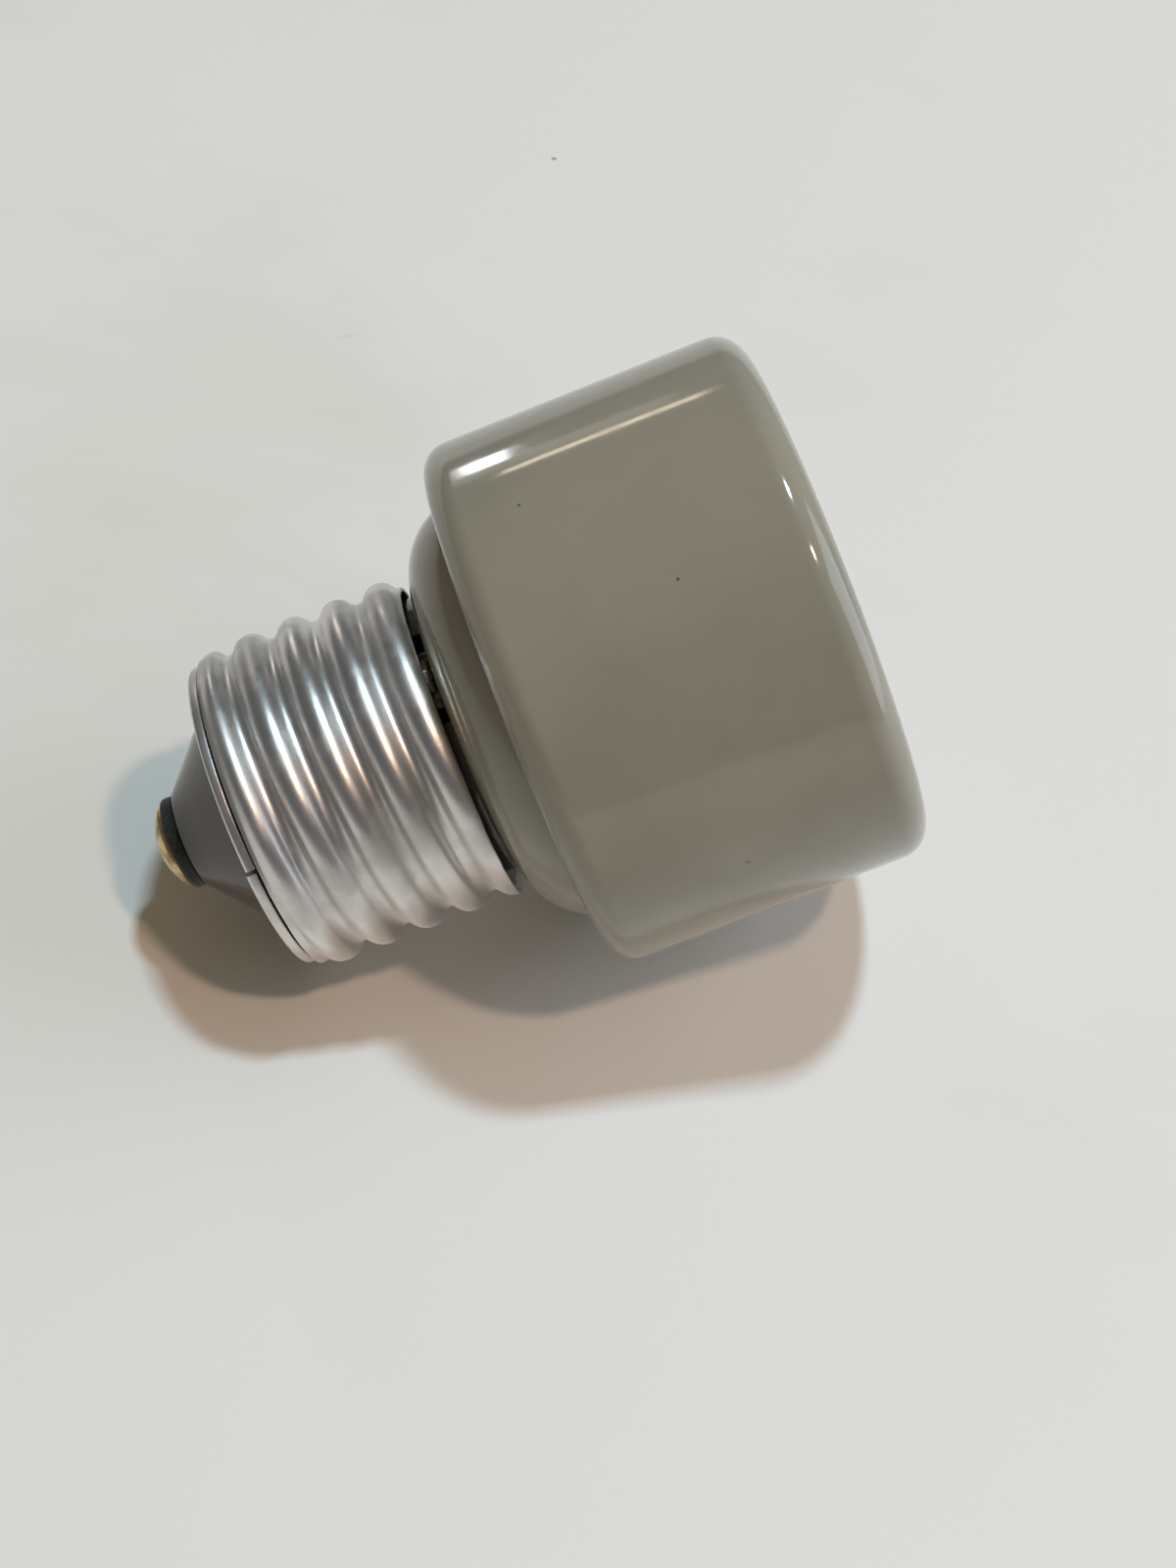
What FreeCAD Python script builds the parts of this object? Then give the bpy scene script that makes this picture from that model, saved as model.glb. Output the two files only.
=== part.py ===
"""Glazed porcelain lamp holder with a screw base of its own, in millimetres.

The holder screws into a lamp socket and offers a new socket of the same size.
It stands on its mouth: z = 0 is the mouth rim, and the base contact points up.
"""
import FreeCAD
import Part
import math
import os

# ---------------------------------------------------------------- porcelain
drum_diameter = 43.2
drum_length = 26.4
drum_front_round = 2.5
drum_back_round = 2.4
collar_diameter = 34.2
collar_height = 4.3
collar_round = 6.7
core_diameter = 22.9
core_edge = 0.3
shoulder_diameter = 19.4
cone_height = 5.25
cone_tip_diameter = 7.9
cone_tip_round = 0.5
mouth_diameter = 30.4
mouth_depth = 4.2
mouth_round = 1.4
socket_bore_diameter = 28.2
socket_depth = 27.0

# ------------------------------------------------------------ rolled threads
thread_pitch = 3.629
thread_depth = 1.0
facets_around = 36
facets_per_pitch = 8
run_out_length = 1.3

# ---------------------------------------------------------- base screw shell
base_crest_diameter = 26.2
base_shell_wall = 0.3
base_shell_length = 16.6
base_shell_gap = 0.7
base_crest_height = 1.92
end_ring_gap = 0.15
end_ring_height = 0.9
end_ring_width = 1.0
end_ring_play = 0.05
end_ring_round = 0.2
end_ring_split = 0.3
end_ring_split_angle = -115.6

# --------------------------------------------------------------- tip contact
tip_washer_diameter = 7.6
tip_washer_thickness = 1.1
tip_washer_round = 0.25
tip_head_diameter = 6.7
tip_head_edge = 0.3
tip_head_rise = 1.2
rod_diameter = 3.2
rod_bore_play = 0.15
rod_fit_play = 0.05
clench_diameter = 4.6
clench_height = 0.6

# -------------------------------------------------------- socket screw shell
socket_shell_play = 0.45
socket_shell_wall = 0.35
socket_shell_recess = 5.0
socket_crest_height = 2.6
socket_floor_hole = 12.6

# ------------------------------------------------------------ centre contact
insulator_play = 0.3
insulator_thickness = 0.8
leaf_thickness = 0.4
leaf_width = 5.0
leaf_tail = 3.2
leaf_reach = 5.0
leaf_bend_radius = 0.9
leaf_slope = 32.0
leaf_drop = 3.9
leaf_tip = 2.3
leaf_knee_radius = 1.5
rod_washer_diameter = 6.0
rod_washer_thickness = 0.5
button_head_diameter = 4.2
button_head_height = 1.0
button_head_edge = 0.3
button_shank_diameter = 1.6
button_play = 0.05
button_clench_diameter = 2.4
button_clench_height = 0.5

# --------------------------------------------------- shell screws and strap
screw_circle_diameter = 17.6
screw_angle = -71.5
screw_diameter = 2.5
screw_hole_play = 0.2
screw_head_diameter = 4.6
screw_head_height = 1.5
screw_head_round = 0.5
screw_slot_width = 0.6
screw_slot_depth = 0.7
screw_end_length = 1.0
pocket_width = 7.8
pocket_height = 5.3
pocket_depth = 5.2
nut_width = 5.0
nut_thickness = 2.0
nut_fit_play = 0.02
strap_foot_width = 5.0
strap_foot_thickness = 0.8
strap_foot_length = 4.4
strap_tongue_width = 2.7
strap_tongue_thickness = 0.5
strap_tongue_height = 4.4
strap_inset = 0.4
solder_diameter = 1.2
solder_rise = 0.28
solder_lift = 0.65

# ------------------------------------------------------------ derived places
collar_top = drum_length + collar_height
shell_start = collar_top + base_shell_gap
shell_end = shell_start + base_shell_length
ring_start = shell_end + end_ring_gap
shoulder_height = ring_start + end_ring_height
cone_top = shoulder_height + cone_height
washer_top = cone_top + tip_washer_thickness
insulator_face = socket_depth - insulator_thickness
leaf_foot_face = insulator_face - leaf_thickness
rod_washer_face = leaf_foot_face - rod_washer_thickness
rod_end = rod_washer_face - clench_height
leaf_arm_face = insulator_face - leaf_drop - leaf_thickness
screw_radius = screw_circle_diameter / 2.0
socket_crest_radius = socket_bore_diameter / 2.0 - socket_shell_play
base_shell_inner_root = base_crest_diameter / 2.0 - thread_depth - base_shell_wall


def point(radius, height):
    """Point of a turned profile in the XZ plane."""
    return FreeCAD.Vector(radius, 0.0, height)


def line(start, end):
    """Straight edge."""
    return Part.LineSegment(start, end).toShape()


def round_arc(centre, radius, start_deg, end_deg):
    """Arc in the XZ plane, angles measured from +X towards +Z."""
    places = []
    for angle in (start_deg, (start_deg + end_deg) / 2.0, end_deg):
        turn = math.radians(angle)
        places.append(centre + point(radius * math.cos(turn), radius * math.sin(turn)))
    return Part.Arc(*places).toShape()


def bulging_arc(start, end, radius):
    """Arc from start to end that bulges to the right of its direction of travel."""
    chord = end - start
    half = chord.Length / 2.0
    rise = radius - math.sqrt(radius ** 2 - half ** 2)
    outward = FreeCAD.Vector(chord.z, 0.0, -chord.x).normalize()
    crown = (start + end) * 0.5 + outward * rise
    return Part.Arc(start, crown, end).toShape()


def turned(edges):
    """Solid of revolution about the Z axis from a closed run of edges."""
    face = Part.Face(Part.Wire(Part.__sortEdges__(edges)))
    solid = face.revolve(FreeCAD.Vector(0, 0, 0), FreeCAD.Vector(0, 0, 1), 360)
    return Part.makeSolid(solid) if solid.ShapeType != "Solid" else solid


def polygon_turned(corners):
    """Solid of revolution from straight-sided corners given as (radius, height)."""
    places = [point(*corner) for corner in corners]
    edges = [line(a, b) for a, b in zip(places, places[1:] + places[:1])]
    return turned(edges)


def disc(radius, low, high, bore=0.0):
    """Plain disc or washer between two heights."""
    solid = Part.makeCylinder(radius, high - low, FreeCAD.Vector(0, 0, low))
    if bore > 0.0:
        solid = solid.cut(Part.makeCylinder(bore, high - low, FreeCAD.Vector(0, 0, low)))
    return solid


def turn_to(shape, angle):
    """Copy of a shape turned about the Z axis."""
    copy = shape.copy()
    copy.rotate(FreeCAD.Vector(0, 0, 0), FreeCAD.Vector(0, 0, 1), angle)
    return copy


def box_out(low_x, high_x, width, low_z, high_z):
    """Box along +X, centred on the XZ plane."""
    corner = FreeCAD.Vector(low_x, -width / 2.0, low_z)
    return Part.makeBox(high_x - low_x, width, high_z - low_z, corner)


def domed_head(radius, edge, rise, base, sign):
    """Domed head: a short cylindrical edge and a spherical crown, along sign * Z."""
    brim = base + sign * edge
    crown = base + sign * (edge + rise)
    edges = [line(point(0, base), point(radius, base))]
    edges.append(line(point(radius, base), point(radius, brim)))
    dome_radius = (radius ** 2 + rise ** 2) / (2.0 * rise)
    middle = point(radius / 2.0, crown - sign * dome_radius
                   + sign * math.sqrt(dome_radius ** 2 - radius ** 2 / 4.0))
    edges.append(Part.Arc(point(radius, brim), middle, point(0, crown)).toShape())
    edges.append(line(point(0, crown), point(0, base)))
    return turned(edges)


# ------------------------------------------------------------ porcelain body
def outer_profile():
    """Edges of the porcelain from the mouth rim to the flat tip of the cone."""
    drum = drum_diameter / 2.0
    collar = collar_diameter / 2.0
    core = core_diameter / 2.0
    tip = cone_tip_diameter / 2.0
    shoulder = shoulder_diameter / 2.0
    slope = math.degrees(math.atan2(cone_height, shoulder - tip))
    tip_tangent = cone_tip_round * math.tan(math.radians(slope / 2.0))
    slant = point(shoulder - tip, -cone_height).normalize()
    cone_end = point(tip, cone_top) + slant * tip_tangent
    front = point(drum - drum_front_round, drum_front_round)
    back = point(drum - drum_back_round, drum_length - drum_back_round)
    return [
        line(point(mouth_diameter / 2.0 + mouth_round, 0), point(drum - drum_front_round, 0)),
        round_arc(front, drum_front_round, -90, 0),
        line(point(drum, drum_front_round), point(drum, drum_length - drum_back_round)),
        round_arc(back, drum_back_round, 0, 90),
        line(point(drum - drum_back_round, drum_length), point(collar, drum_length)),
        bulging_arc(point(collar, drum_length), point(core, collar_top), collar_round),
        line(point(core, collar_top), point(core, shoulder_height - core_edge)),
        line(point(core, shoulder_height - core_edge), point(core - core_edge, shoulder_height)),
        line(point(core - core_edge, shoulder_height), point(shoulder, shoulder_height)),
        line(point(shoulder, shoulder_height), cone_end),
        bulging_arc(cone_end, point(tip - tip_tangent, cone_top), cone_tip_round),
    ]


def inner_profile():
    """Edges of the rod bore, the socket floor, the socket bore and the mouth."""
    tip = cone_tip_diameter / 2.0
    shoulder = shoulder_diameter / 2.0
    slope = math.degrees(math.atan2(cone_height, shoulder - tip))
    tip_tangent = cone_tip_round * math.tan(math.radians(slope / 2.0))
    bore = rod_diameter / 2.0 + rod_bore_play
    socket = socket_bore_diameter / 2.0
    mouth = mouth_diameter / 2.0
    step = mouth - socket
    lip = point(mouth + mouth_round, mouth_round)
    return [
        line(point(tip - tip_tangent, cone_top), point(bore, cone_top)),
        line(point(bore, cone_top), point(bore, socket_depth)),
        line(point(bore, socket_depth), point(socket, socket_depth)),
        line(point(socket, socket_depth), point(socket, mouth_depth + step)),
        line(point(socket, mouth_depth + step), point(mouth, mouth_depth)),
        line(point(mouth, mouth_depth), point(mouth, mouth_round)),
        round_arc(lip, mouth_round, 180, 270),
    ]


def porcelain_body():
    """One fired piece: drum, domed collar, core for the base shell and tip cone."""
    body = turned(outer_profile() + inner_profile())
    pocket_floor = core_diameter / 2.0 - pocket_depth
    pocket = box_out(pocket_floor, drum_diameter, pocket_width, collar_top, collar_top + pocket_height)
    hole = Part.makeCylinder(screw_diameter / 2.0 + screw_hole_play, collar_height + drum_length,
                             FreeCAD.Vector(screw_radius, 0, socket_depth - 1.0))
    for angle in (screw_angle, screw_angle + 180.0):
        body = body.cut(turn_to(pocket, angle))
        body = body.cut(turn_to(hole.common(pocket_reach()), angle))
    return body


def pocket_reach():
    """Slab between the socket floor and the pockets, which a screw hole passes through."""
    side = drum_diameter
    corner = FreeCAD.Vector(-side / 2.0, -side / 2.0, socket_depth - 0.5)
    return Part.makeBox(side, side, collar_top - socket_depth + 1.0, corner)


# ------------------------------------------------------------- thread shells
def smooth_step(value):
    """0 to 1 with level ends."""
    t = min(max(value, 0.0), 1.0)
    return t * t * (3.0 - 2.0 * t)


def thread_drop(offset):
    """How far the thread lies inside its crest, at a distance along the axis from a crest.

    The profile is two equal arcs, one over the crest and one in the root, that meet at the flank.
    """
    half_pitch = thread_pitch / 2.0
    arc = (half_pitch ** 2 + thread_depth ** 2) / (4.0 * thread_depth)
    if offset <= half_pitch / 2.0:
        return arc - math.sqrt(arc ** 2 - offset ** 2)
    return thread_depth - arc + math.sqrt(arc ** 2 - (half_pitch - offset) ** 2)


def thread_radius(crest_radius, angle, height, crest_at, fade):
    """Radius of a right-hand rolled thread, fading to its mean radius in its run-outs."""
    turns = (height - crest_at) / thread_pitch - angle / 360.0
    offset = abs(turns - round(turns)) * thread_pitch
    middle = crest_radius - thread_depth / 2.0
    return middle + fade * (thread_depth / 2.0 - thread_drop(offset))


def heights_between(low, high):
    """Evenly spaced heights, fine enough for the rolled profile."""
    count = max(2, round((high - low) / thread_pitch * facets_per_pitch))
    return [low + (high - low) * index / count for index in range(count + 1)]


def faceted_ring(section_at):
    """Closed solid through sections round the Z axis, built from flat triangles.

    section_at gives the closed section at an angle, as a list of (radius, height).
    """
    places = []
    for column in range(facets_around):
        angle = 360.0 * column / facets_around
        turn = math.radians(angle)
        for radius, height in section_at(angle):
            places.append(FreeCAD.Vector(radius * math.cos(turn), radius * math.sin(turn), height))
    rows = len(places) // facets_around
    triangles = []
    for column in range(facets_around):
        beside = (column + 1) % facets_around
        for row in range(rows):
            above = (row + 1) % rows
            a = column * rows + row
            b = beside * rows + row
            c = beside * rows + above
            d = column * rows + above
            triangles.append((a, b, c))
            triangles.append((a, c, d))
    skin = Part.Shape()
    skin.makeShapeFromMesh((places, triangles), 0.001)
    solid = Part.makeSolid(skin.Shells[0])
    if solid.Volume < 0:
        solid.reverse()
    return solid


def base_screw_shell():
    """Rolled aluminium base shell: cut square at its open end, run out at the tip end."""
    crest = base_crest_diameter / 2.0
    heights = heights_between(shell_start, shell_end)

    def section(angle):
        outer = []
        for height in heights:
            fade = smooth_step((shell_end - height) / run_out_length)
            outer.append((thread_radius(crest, angle, height, shell_start + base_crest_height, fade), height))
        inner = [(radius - base_shell_wall, height) for radius, height in reversed(outer)]
        return outer + inner

    return faceted_ring(section)


def socket_screw_shell():
    """Rolled socket shell with an inward floor, run out at both ends of its thread."""
    floor_hole = socket_floor_hole / 2.0
    wall_top = socket_depth - socket_shell_wall
    heights = heights_between(socket_shell_recess, wall_top)

    def section(angle):
        inner = []
        for height in heights:
            fade = smooth_step((height - socket_shell_recess) / run_out_length)
            fade *= smooth_step((wall_top - height) / run_out_length)
            crest_at = socket_shell_recess + socket_crest_height
            radius = thread_radius(socket_crest_radius, angle, height, crest_at, fade)
            inner.append((radius - socket_shell_wall, height))
        outer = [(radius + socket_shell_wall, height) for radius, height in reversed(inner)]
        outer[0] = (outer[0][0], socket_depth)
        return inner + [(floor_hole, wall_top), (floor_hole, socket_depth)] + outer

    shell = faceted_ring(section)
    hole = Part.makeCylinder(screw_diameter / 2.0 + screw_hole_play, 3.0 * socket_shell_wall,
                             FreeCAD.Vector(screw_radius, 0, socket_depth - 2.0 * socket_shell_wall))
    for angle in (screw_angle, screw_angle + 180.0):
        shell = shell.cut(turn_to(hole, angle))
    return shell


def base_end_ring():
    """Split ring pressed on the core at the tip end of the base shell."""
    inner = core_diameter / 2.0 + end_ring_play
    outer = inner + end_ring_width
    ring = disc(outer, ring_start, ring_start + end_ring_height, inner)
    rims = [edge for edge in ring.Edges
            if edge.Curve.TypeId == "Part::GeomCircle" and abs(edge.Curve.Radius - outer) < 1e-6]
    ring = ring.makeFillet(end_ring_round, rims)
    split = box_out(inner - 1.0, outer + 1.0, end_ring_split, ring_start - 1.0, ring_start + end_ring_height + 1.0)
    return ring.cut(turn_to(split, end_ring_split_angle))


# --------------------------------------------------------------- tip contact
def tip_washer():
    """Insulating washer between the cone and the head of the contact rod."""
    bore = rod_diameter / 2.0 + rod_fit_play
    radius = tip_washer_diameter / 2.0
    washer = disc(radius, cone_top, washer_top, bore)
    rims = [edge for edge in washer.Edges
            if edge.Curve.TypeId == "Part::GeomCircle" and abs(edge.Curve.Radius - radius) < 1e-6]
    return washer.makeFillet(tip_washer_round, rims)


def tip_contact_rod():
    """Brass rod: domed head outside, plain shank through the core, clenched end inside."""
    head = domed_head(tip_head_diameter / 2.0, tip_head_edge, tip_head_rise, washer_top, 1)
    shank = disc(rod_diameter / 2.0, rod_washer_face, washer_top)
    clench = domed_head(clench_diameter / 2.0, clench_height / 3.0, clench_height * 2.0 / 3.0, rod_washer_face, -1)
    return head.fuse(shank).fuse(clench).removeSplitter()


def rod_washer():
    """Brass washer under the clenched end of the rod."""
    return disc(rod_washer_diameter / 2.0, rod_washer_face, leaf_foot_face, rod_diameter / 2.0 + rod_fit_play)


# ------------------------------------------------------------ centre contact
def contact_insulator():
    """Fibre disc that keeps the contact leaf off the socket shell."""
    radius = socket_floor_hole / 2.0 - insulator_play
    return disc(radius, insulator_face, socket_depth, rod_diameter / 2.0 + rod_fit_play)


def leaf_path():
    """Outer and inner faces of the folded leaf, as corner and arc data of its middle line."""
    half = leaf_thickness / 2.0
    foot = insulator_face - half
    slope = math.radians(leaf_slope)
    bend = point(leaf_reach, foot - leaf_bend_radius)
    bend_end_angle = -90.0 + leaf_slope
    knee_height = leaf_arm_face + half + leaf_knee_radius
    turn = math.radians(bend_end_angle)
    bend_end = bend + point(leaf_bend_radius * math.cos(turn), leaf_bend_radius * math.sin(turn))
    knee_low = knee_height - leaf_knee_radius * math.cos(slope)
    run = (bend_end.z - knee_low) / math.sin(slope)
    knee_x = bend_end.x - run * math.cos(slope) - leaf_knee_radius * math.sin(slope)
    knee = point(knee_x, knee_height)
    return foot, bend, bend_end_angle, knee


def leaf_face(offset):
    """Edges of the leaf's middle line moved sideways by offset, from the foot to the free end."""
    foot, bend, bend_end_angle, knee = leaf_path()
    bend_radius = leaf_bend_radius + offset
    knee_radius = leaf_knee_radius + offset
    foot_z = foot + offset
    start_turn = math.radians(bend_end_angle)
    bend_out = bend + point(bend_radius * math.cos(start_turn), bend_radius * math.sin(start_turn))
    knee_turn = math.radians(-90.0 + leaf_slope)
    knee_in = knee + point(knee_radius * math.cos(knee_turn), knee_radius * math.sin(knee_turn))
    knee_out = knee + point(0, -knee_radius)
    return [
        line(point(-leaf_tail, foot_z), point(leaf_reach, foot_z)),
        round_arc(bend, bend_radius, 90, bend_end_angle),
        line(bend_out, knee_in),
        round_arc(knee, knee_radius, -90.0 + leaf_slope, -90),
        line(knee_out, point(-leaf_tip, knee_out.z)),
    ]


def contact_leaf():
    """Bronze strip folded back over the rod end, holed for the rod and for the button."""
    half = leaf_thickness / 2.0
    outside = leaf_face(half)
    inside = leaf_face(-half)
    ends = [
        line(outside[0].Vertexes[0].Point, inside[0].Vertexes[0].Point),
        line(outside[-1].Vertexes[-1].Point, inside[-1].Vertexes[-1].Point),
    ]
    face = Part.Face(Part.Wire(Part.__sortEdges__(outside + inside + ends)))
    strip = face.extrude(FreeCAD.Vector(0, leaf_width, 0))
    strip.translate(FreeCAD.Vector(0, -leaf_width / 2.0, 0))
    strip = strip.cut(disc(rod_diameter / 2.0 + rod_fit_play, leaf_foot_face - 0.5, insulator_face + 0.5))
    strip = strip.cut(disc(button_shank_diameter / 2.0 + button_play, leaf_arm_face - 0.5,
                           leaf_arm_face + leaf_thickness + 0.5))
    return turn_to(strip, screw_angle + 90.0)


def contact_button():
    """Riveted contact button at the free end of the leaf, its head towards the mouth."""
    back = leaf_arm_face + leaf_thickness
    head = domed_head(button_head_diameter / 2.0, button_head_edge,
                      button_head_height - button_head_edge, leaf_arm_face, -1)
    shank = disc(button_shank_diameter / 2.0, leaf_arm_face, back)
    clench = disc(button_clench_diameter / 2.0, back, back + button_clench_height)
    return head.fuse(shank).fuse(clench).removeSplitter()


# --------------------------------------------------- shell screws and strap
def slotted_screw(tip):
    """Pan-head screw pointing up from the socket shell's floor, with its end at tip."""
    seat = socket_depth - socket_shell_wall
    base = seat - screw_head_height
    radius = screw_head_diameter / 2.0
    head = disc(radius, base, seat)
    rims = [edge for edge in head.Edges
            if edge.Curve.TypeId == "Part::GeomCircle" and abs(edge.Vertexes[0].Z - base) < 1e-6]
    head = head.makeFillet(screw_head_round, rims)
    slot = box_out(-radius, radius, screw_slot_width, base - 1.0, base + screw_slot_depth)
    head = head.cut(slot)
    shank = disc(screw_diameter / 2.0, seat - 0.1, tip)
    screw = head.fuse(shank).removeSplitter()
    screw.translate(FreeCAD.Vector(screw_radius, 0, 0))
    return screw


def shell_screws():
    """The two screws that hold the socket shell, as separate solids."""
    strap_side = slotted_screw(collar_top + strap_foot_thickness + screw_end_length)
    nut_side = slotted_screw(collar_top + nut_thickness + screw_end_length / 2.0)
    return Part.makeCompound([turn_to(strap_side, screw_angle), turn_to(nut_side, screw_angle + 180.0)])


def tapped_hole(thickness):
    """Cutter for the tapped hole of the strap's foot or of the nut."""
    hole = disc(screw_diameter / 2.0 + nut_fit_play, collar_top - 0.5, collar_top + thickness + 0.5)
    hole.translate(FreeCAD.Vector(screw_radius, 0, 0))
    return hole


def shell_nut():
    """Square nut in the pocket opposite the strap."""
    nut = box_out(screw_radius - nut_width / 2.0, screw_radius + nut_width / 2.0, nut_width,
                  collar_top, collar_top + nut_thickness)
    return turn_to(nut.cut(tapped_hole(nut_thickness)), screw_angle + 180.0)


def strap_outer_face():
    """Distance from the axis to the strap's face towards the base shell."""
    return base_shell_inner_root - strap_inset


def connecting_strap():
    """Strap that joins the socket shell's screw to the base shell: tapped foot and tongue."""
    outer = strap_outer_face()
    foot_start = outer - strap_foot_length
    foot = box_out(foot_start, outer - strap_tongue_thickness, strap_foot_width,
                   collar_top, collar_top + strap_foot_thickness)
    tongue = box_out(outer - strap_tongue_thickness, outer, strap_tongue_width,
                     collar_top, collar_top + strap_tongue_height)
    strap = foot.fuse(tongue).removeSplitter()
    return turn_to(strap.cut(tapped_hole(strap_foot_thickness)), screw_angle)


def strap_solder():
    """Solder bead on the strap's tongue, at the open end of the base shell."""
    half = solder_diameter / 2.0
    ball = (half ** 2 + solder_rise ** 2) / (2.0 * solder_rise)
    low = math.degrees(math.acos(half / ball))
    centre = FreeCAD.Vector(strap_outer_face() + solder_rise - ball, 0, collar_top + solder_lift)
    bead = Part.makeSphere(ball, centre, FreeCAD.Vector(1, 0, 0), low, 90, 360)
    return turn_to(bead, screw_angle)


NODES = {
    "porcelain_body": porcelain_body,
    "base_screw_shell": base_screw_shell,
    "base_end_ring": base_end_ring,
    "tip_washer": tip_washer,
    "tip_contact_rod": tip_contact_rod,
    "rod_washer": rod_washer,
    "contact_insulator": contact_insulator,
    "contact_leaf": contact_leaf,
    "contact_button": contact_button,
    "socket_screw_shell": socket_screw_shell,
    "shell_screws": shell_screws,
    "shell_nut": shell_nut,
    "connecting_strap": connecting_strap,
    "strap_solder": strap_solder,
}


def main():
    """Builds every node and writes its STEP file."""
    os.makedirs("parts", exist_ok=True)
    for name, build in NODES.items():
        shape = build()
        shape.exportStep(os.path.join("parts", name + ".step"))
        solids = shape.Solids
        print(name, "solids", len(solids), "volume", round(sum(s.Volume for s in solids), 2), shape.isValid())


main()
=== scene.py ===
"""Dresses the porcelain lamp holder: its pieces, their finishes, the table, the lamps and the camera."""
import logging
import math
from dataclasses import dataclass
from enum import Enum
from typing import Any, Iterable, Mapping, Sequence, Union

import bmesh
import bpy
from mathutils import Matrix, Vector


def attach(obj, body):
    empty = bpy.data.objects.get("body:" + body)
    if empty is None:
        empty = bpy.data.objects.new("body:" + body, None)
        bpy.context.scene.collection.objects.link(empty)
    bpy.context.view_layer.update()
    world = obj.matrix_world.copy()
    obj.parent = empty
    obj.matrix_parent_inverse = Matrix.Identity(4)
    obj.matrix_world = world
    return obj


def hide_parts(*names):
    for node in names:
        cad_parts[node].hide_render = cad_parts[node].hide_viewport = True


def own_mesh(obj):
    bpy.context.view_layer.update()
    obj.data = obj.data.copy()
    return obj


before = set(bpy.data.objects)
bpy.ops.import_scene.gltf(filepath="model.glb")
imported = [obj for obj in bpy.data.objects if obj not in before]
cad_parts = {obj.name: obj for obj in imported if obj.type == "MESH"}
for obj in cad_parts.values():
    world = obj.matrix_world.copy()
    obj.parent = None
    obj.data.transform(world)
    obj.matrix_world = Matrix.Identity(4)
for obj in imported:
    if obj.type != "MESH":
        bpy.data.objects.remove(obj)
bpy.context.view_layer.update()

LOG = logging.getLogger("lamp_holder")
AXIS = Vector((0.0, 0.0, 1.0))
Colour = tuple[float, float, float]
Triple = tuple[float, float, float]

# Pieces are sized in millimetres and degrees; finishes, table, lamps and camera in metres.
MM = 0.001
WELD = 0.002
CUT_WELD = 0.0005
PLANE_REACH = 0.0002
CUT_FAR = 1.0
CUT_NEAR = 0.5
SHARP = 60.0

# What all the finishes share.
EVEN = (1.0, 1.0, 1.0)
NOISE_ROUGHNESS = 0.55
SPECK_CORE = 0.6
SPOT_CORE = 0.5
MIX_SHARE, MIX_FIRST, MIX_SECOND, MIX_RESULT = 0, 6, 7, 2


class Body(Enum):
    """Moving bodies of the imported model."""

    HOLDER = "holder"
    CENTRE_CONTACT = "centre_contact"


# ------------------------------------------------------------------ finishes
@dataclass(frozen=True)
class Cloud:
    """Soft noise: its features in a metre, its octaves, the range that is used, and its stretch."""

    per_metre: float
    detail: float
    low: float = 0.0
    high: float = 1.0
    stretch: Triple = EVEN


@dataclass(frozen=True)
class Specks:
    """Scattered round specks: cells in a metre, radius as a share of a cell, and share of cells with one."""

    per_metre: float
    size: float
    share: float


class Signal:
    """Shader socket that plain Python expressions add Math nodes to."""

    def __init__(self, paint: "Paint", socket: Any) -> None:
        """Wraps an output socket of a node tree."""
        self.paint = paint
        self.socket = socket

    def apply(self, operation: str, *values: Any) -> "Signal":
        """Adds one Math node, with the values or signals of its sockets in order."""
        return self.paint.node("ShaderNodeMath", {"operation": operation}, dict(enumerate(values)))

    def __add__(self, other: Any) -> "Signal":
        """Sum."""
        return self.apply("ADD", self, other)

    def __radd__(self, other: Any) -> "Signal":
        """Sum, reflected."""
        return self.apply("ADD", other, self)

    def __sub__(self, other: Any) -> "Signal":
        """Difference."""
        return self.apply("SUBTRACT", self, other)

    def __rsub__(self, other: Any) -> "Signal":
        """Difference, reflected."""
        return self.apply("SUBTRACT", other, self)

    def __mul__(self, other: Any) -> "Signal":
        """Product."""
        return self.apply("MULTIPLY", self, other)

    def __rmul__(self, other: Any) -> "Signal":
        """Product, reflected."""
        return self.apply("MULTIPLY", other, self)

    def above(self, limit: float) -> "Signal":
        """1 where the signal is over the limit, else 0."""
        return self.apply("GREATER_THAN", self, limit)

    def larger(self, other: Any) -> "Signal":
        """The larger of two signals."""
        return self.apply("MAXIMUM", self, other)


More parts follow.
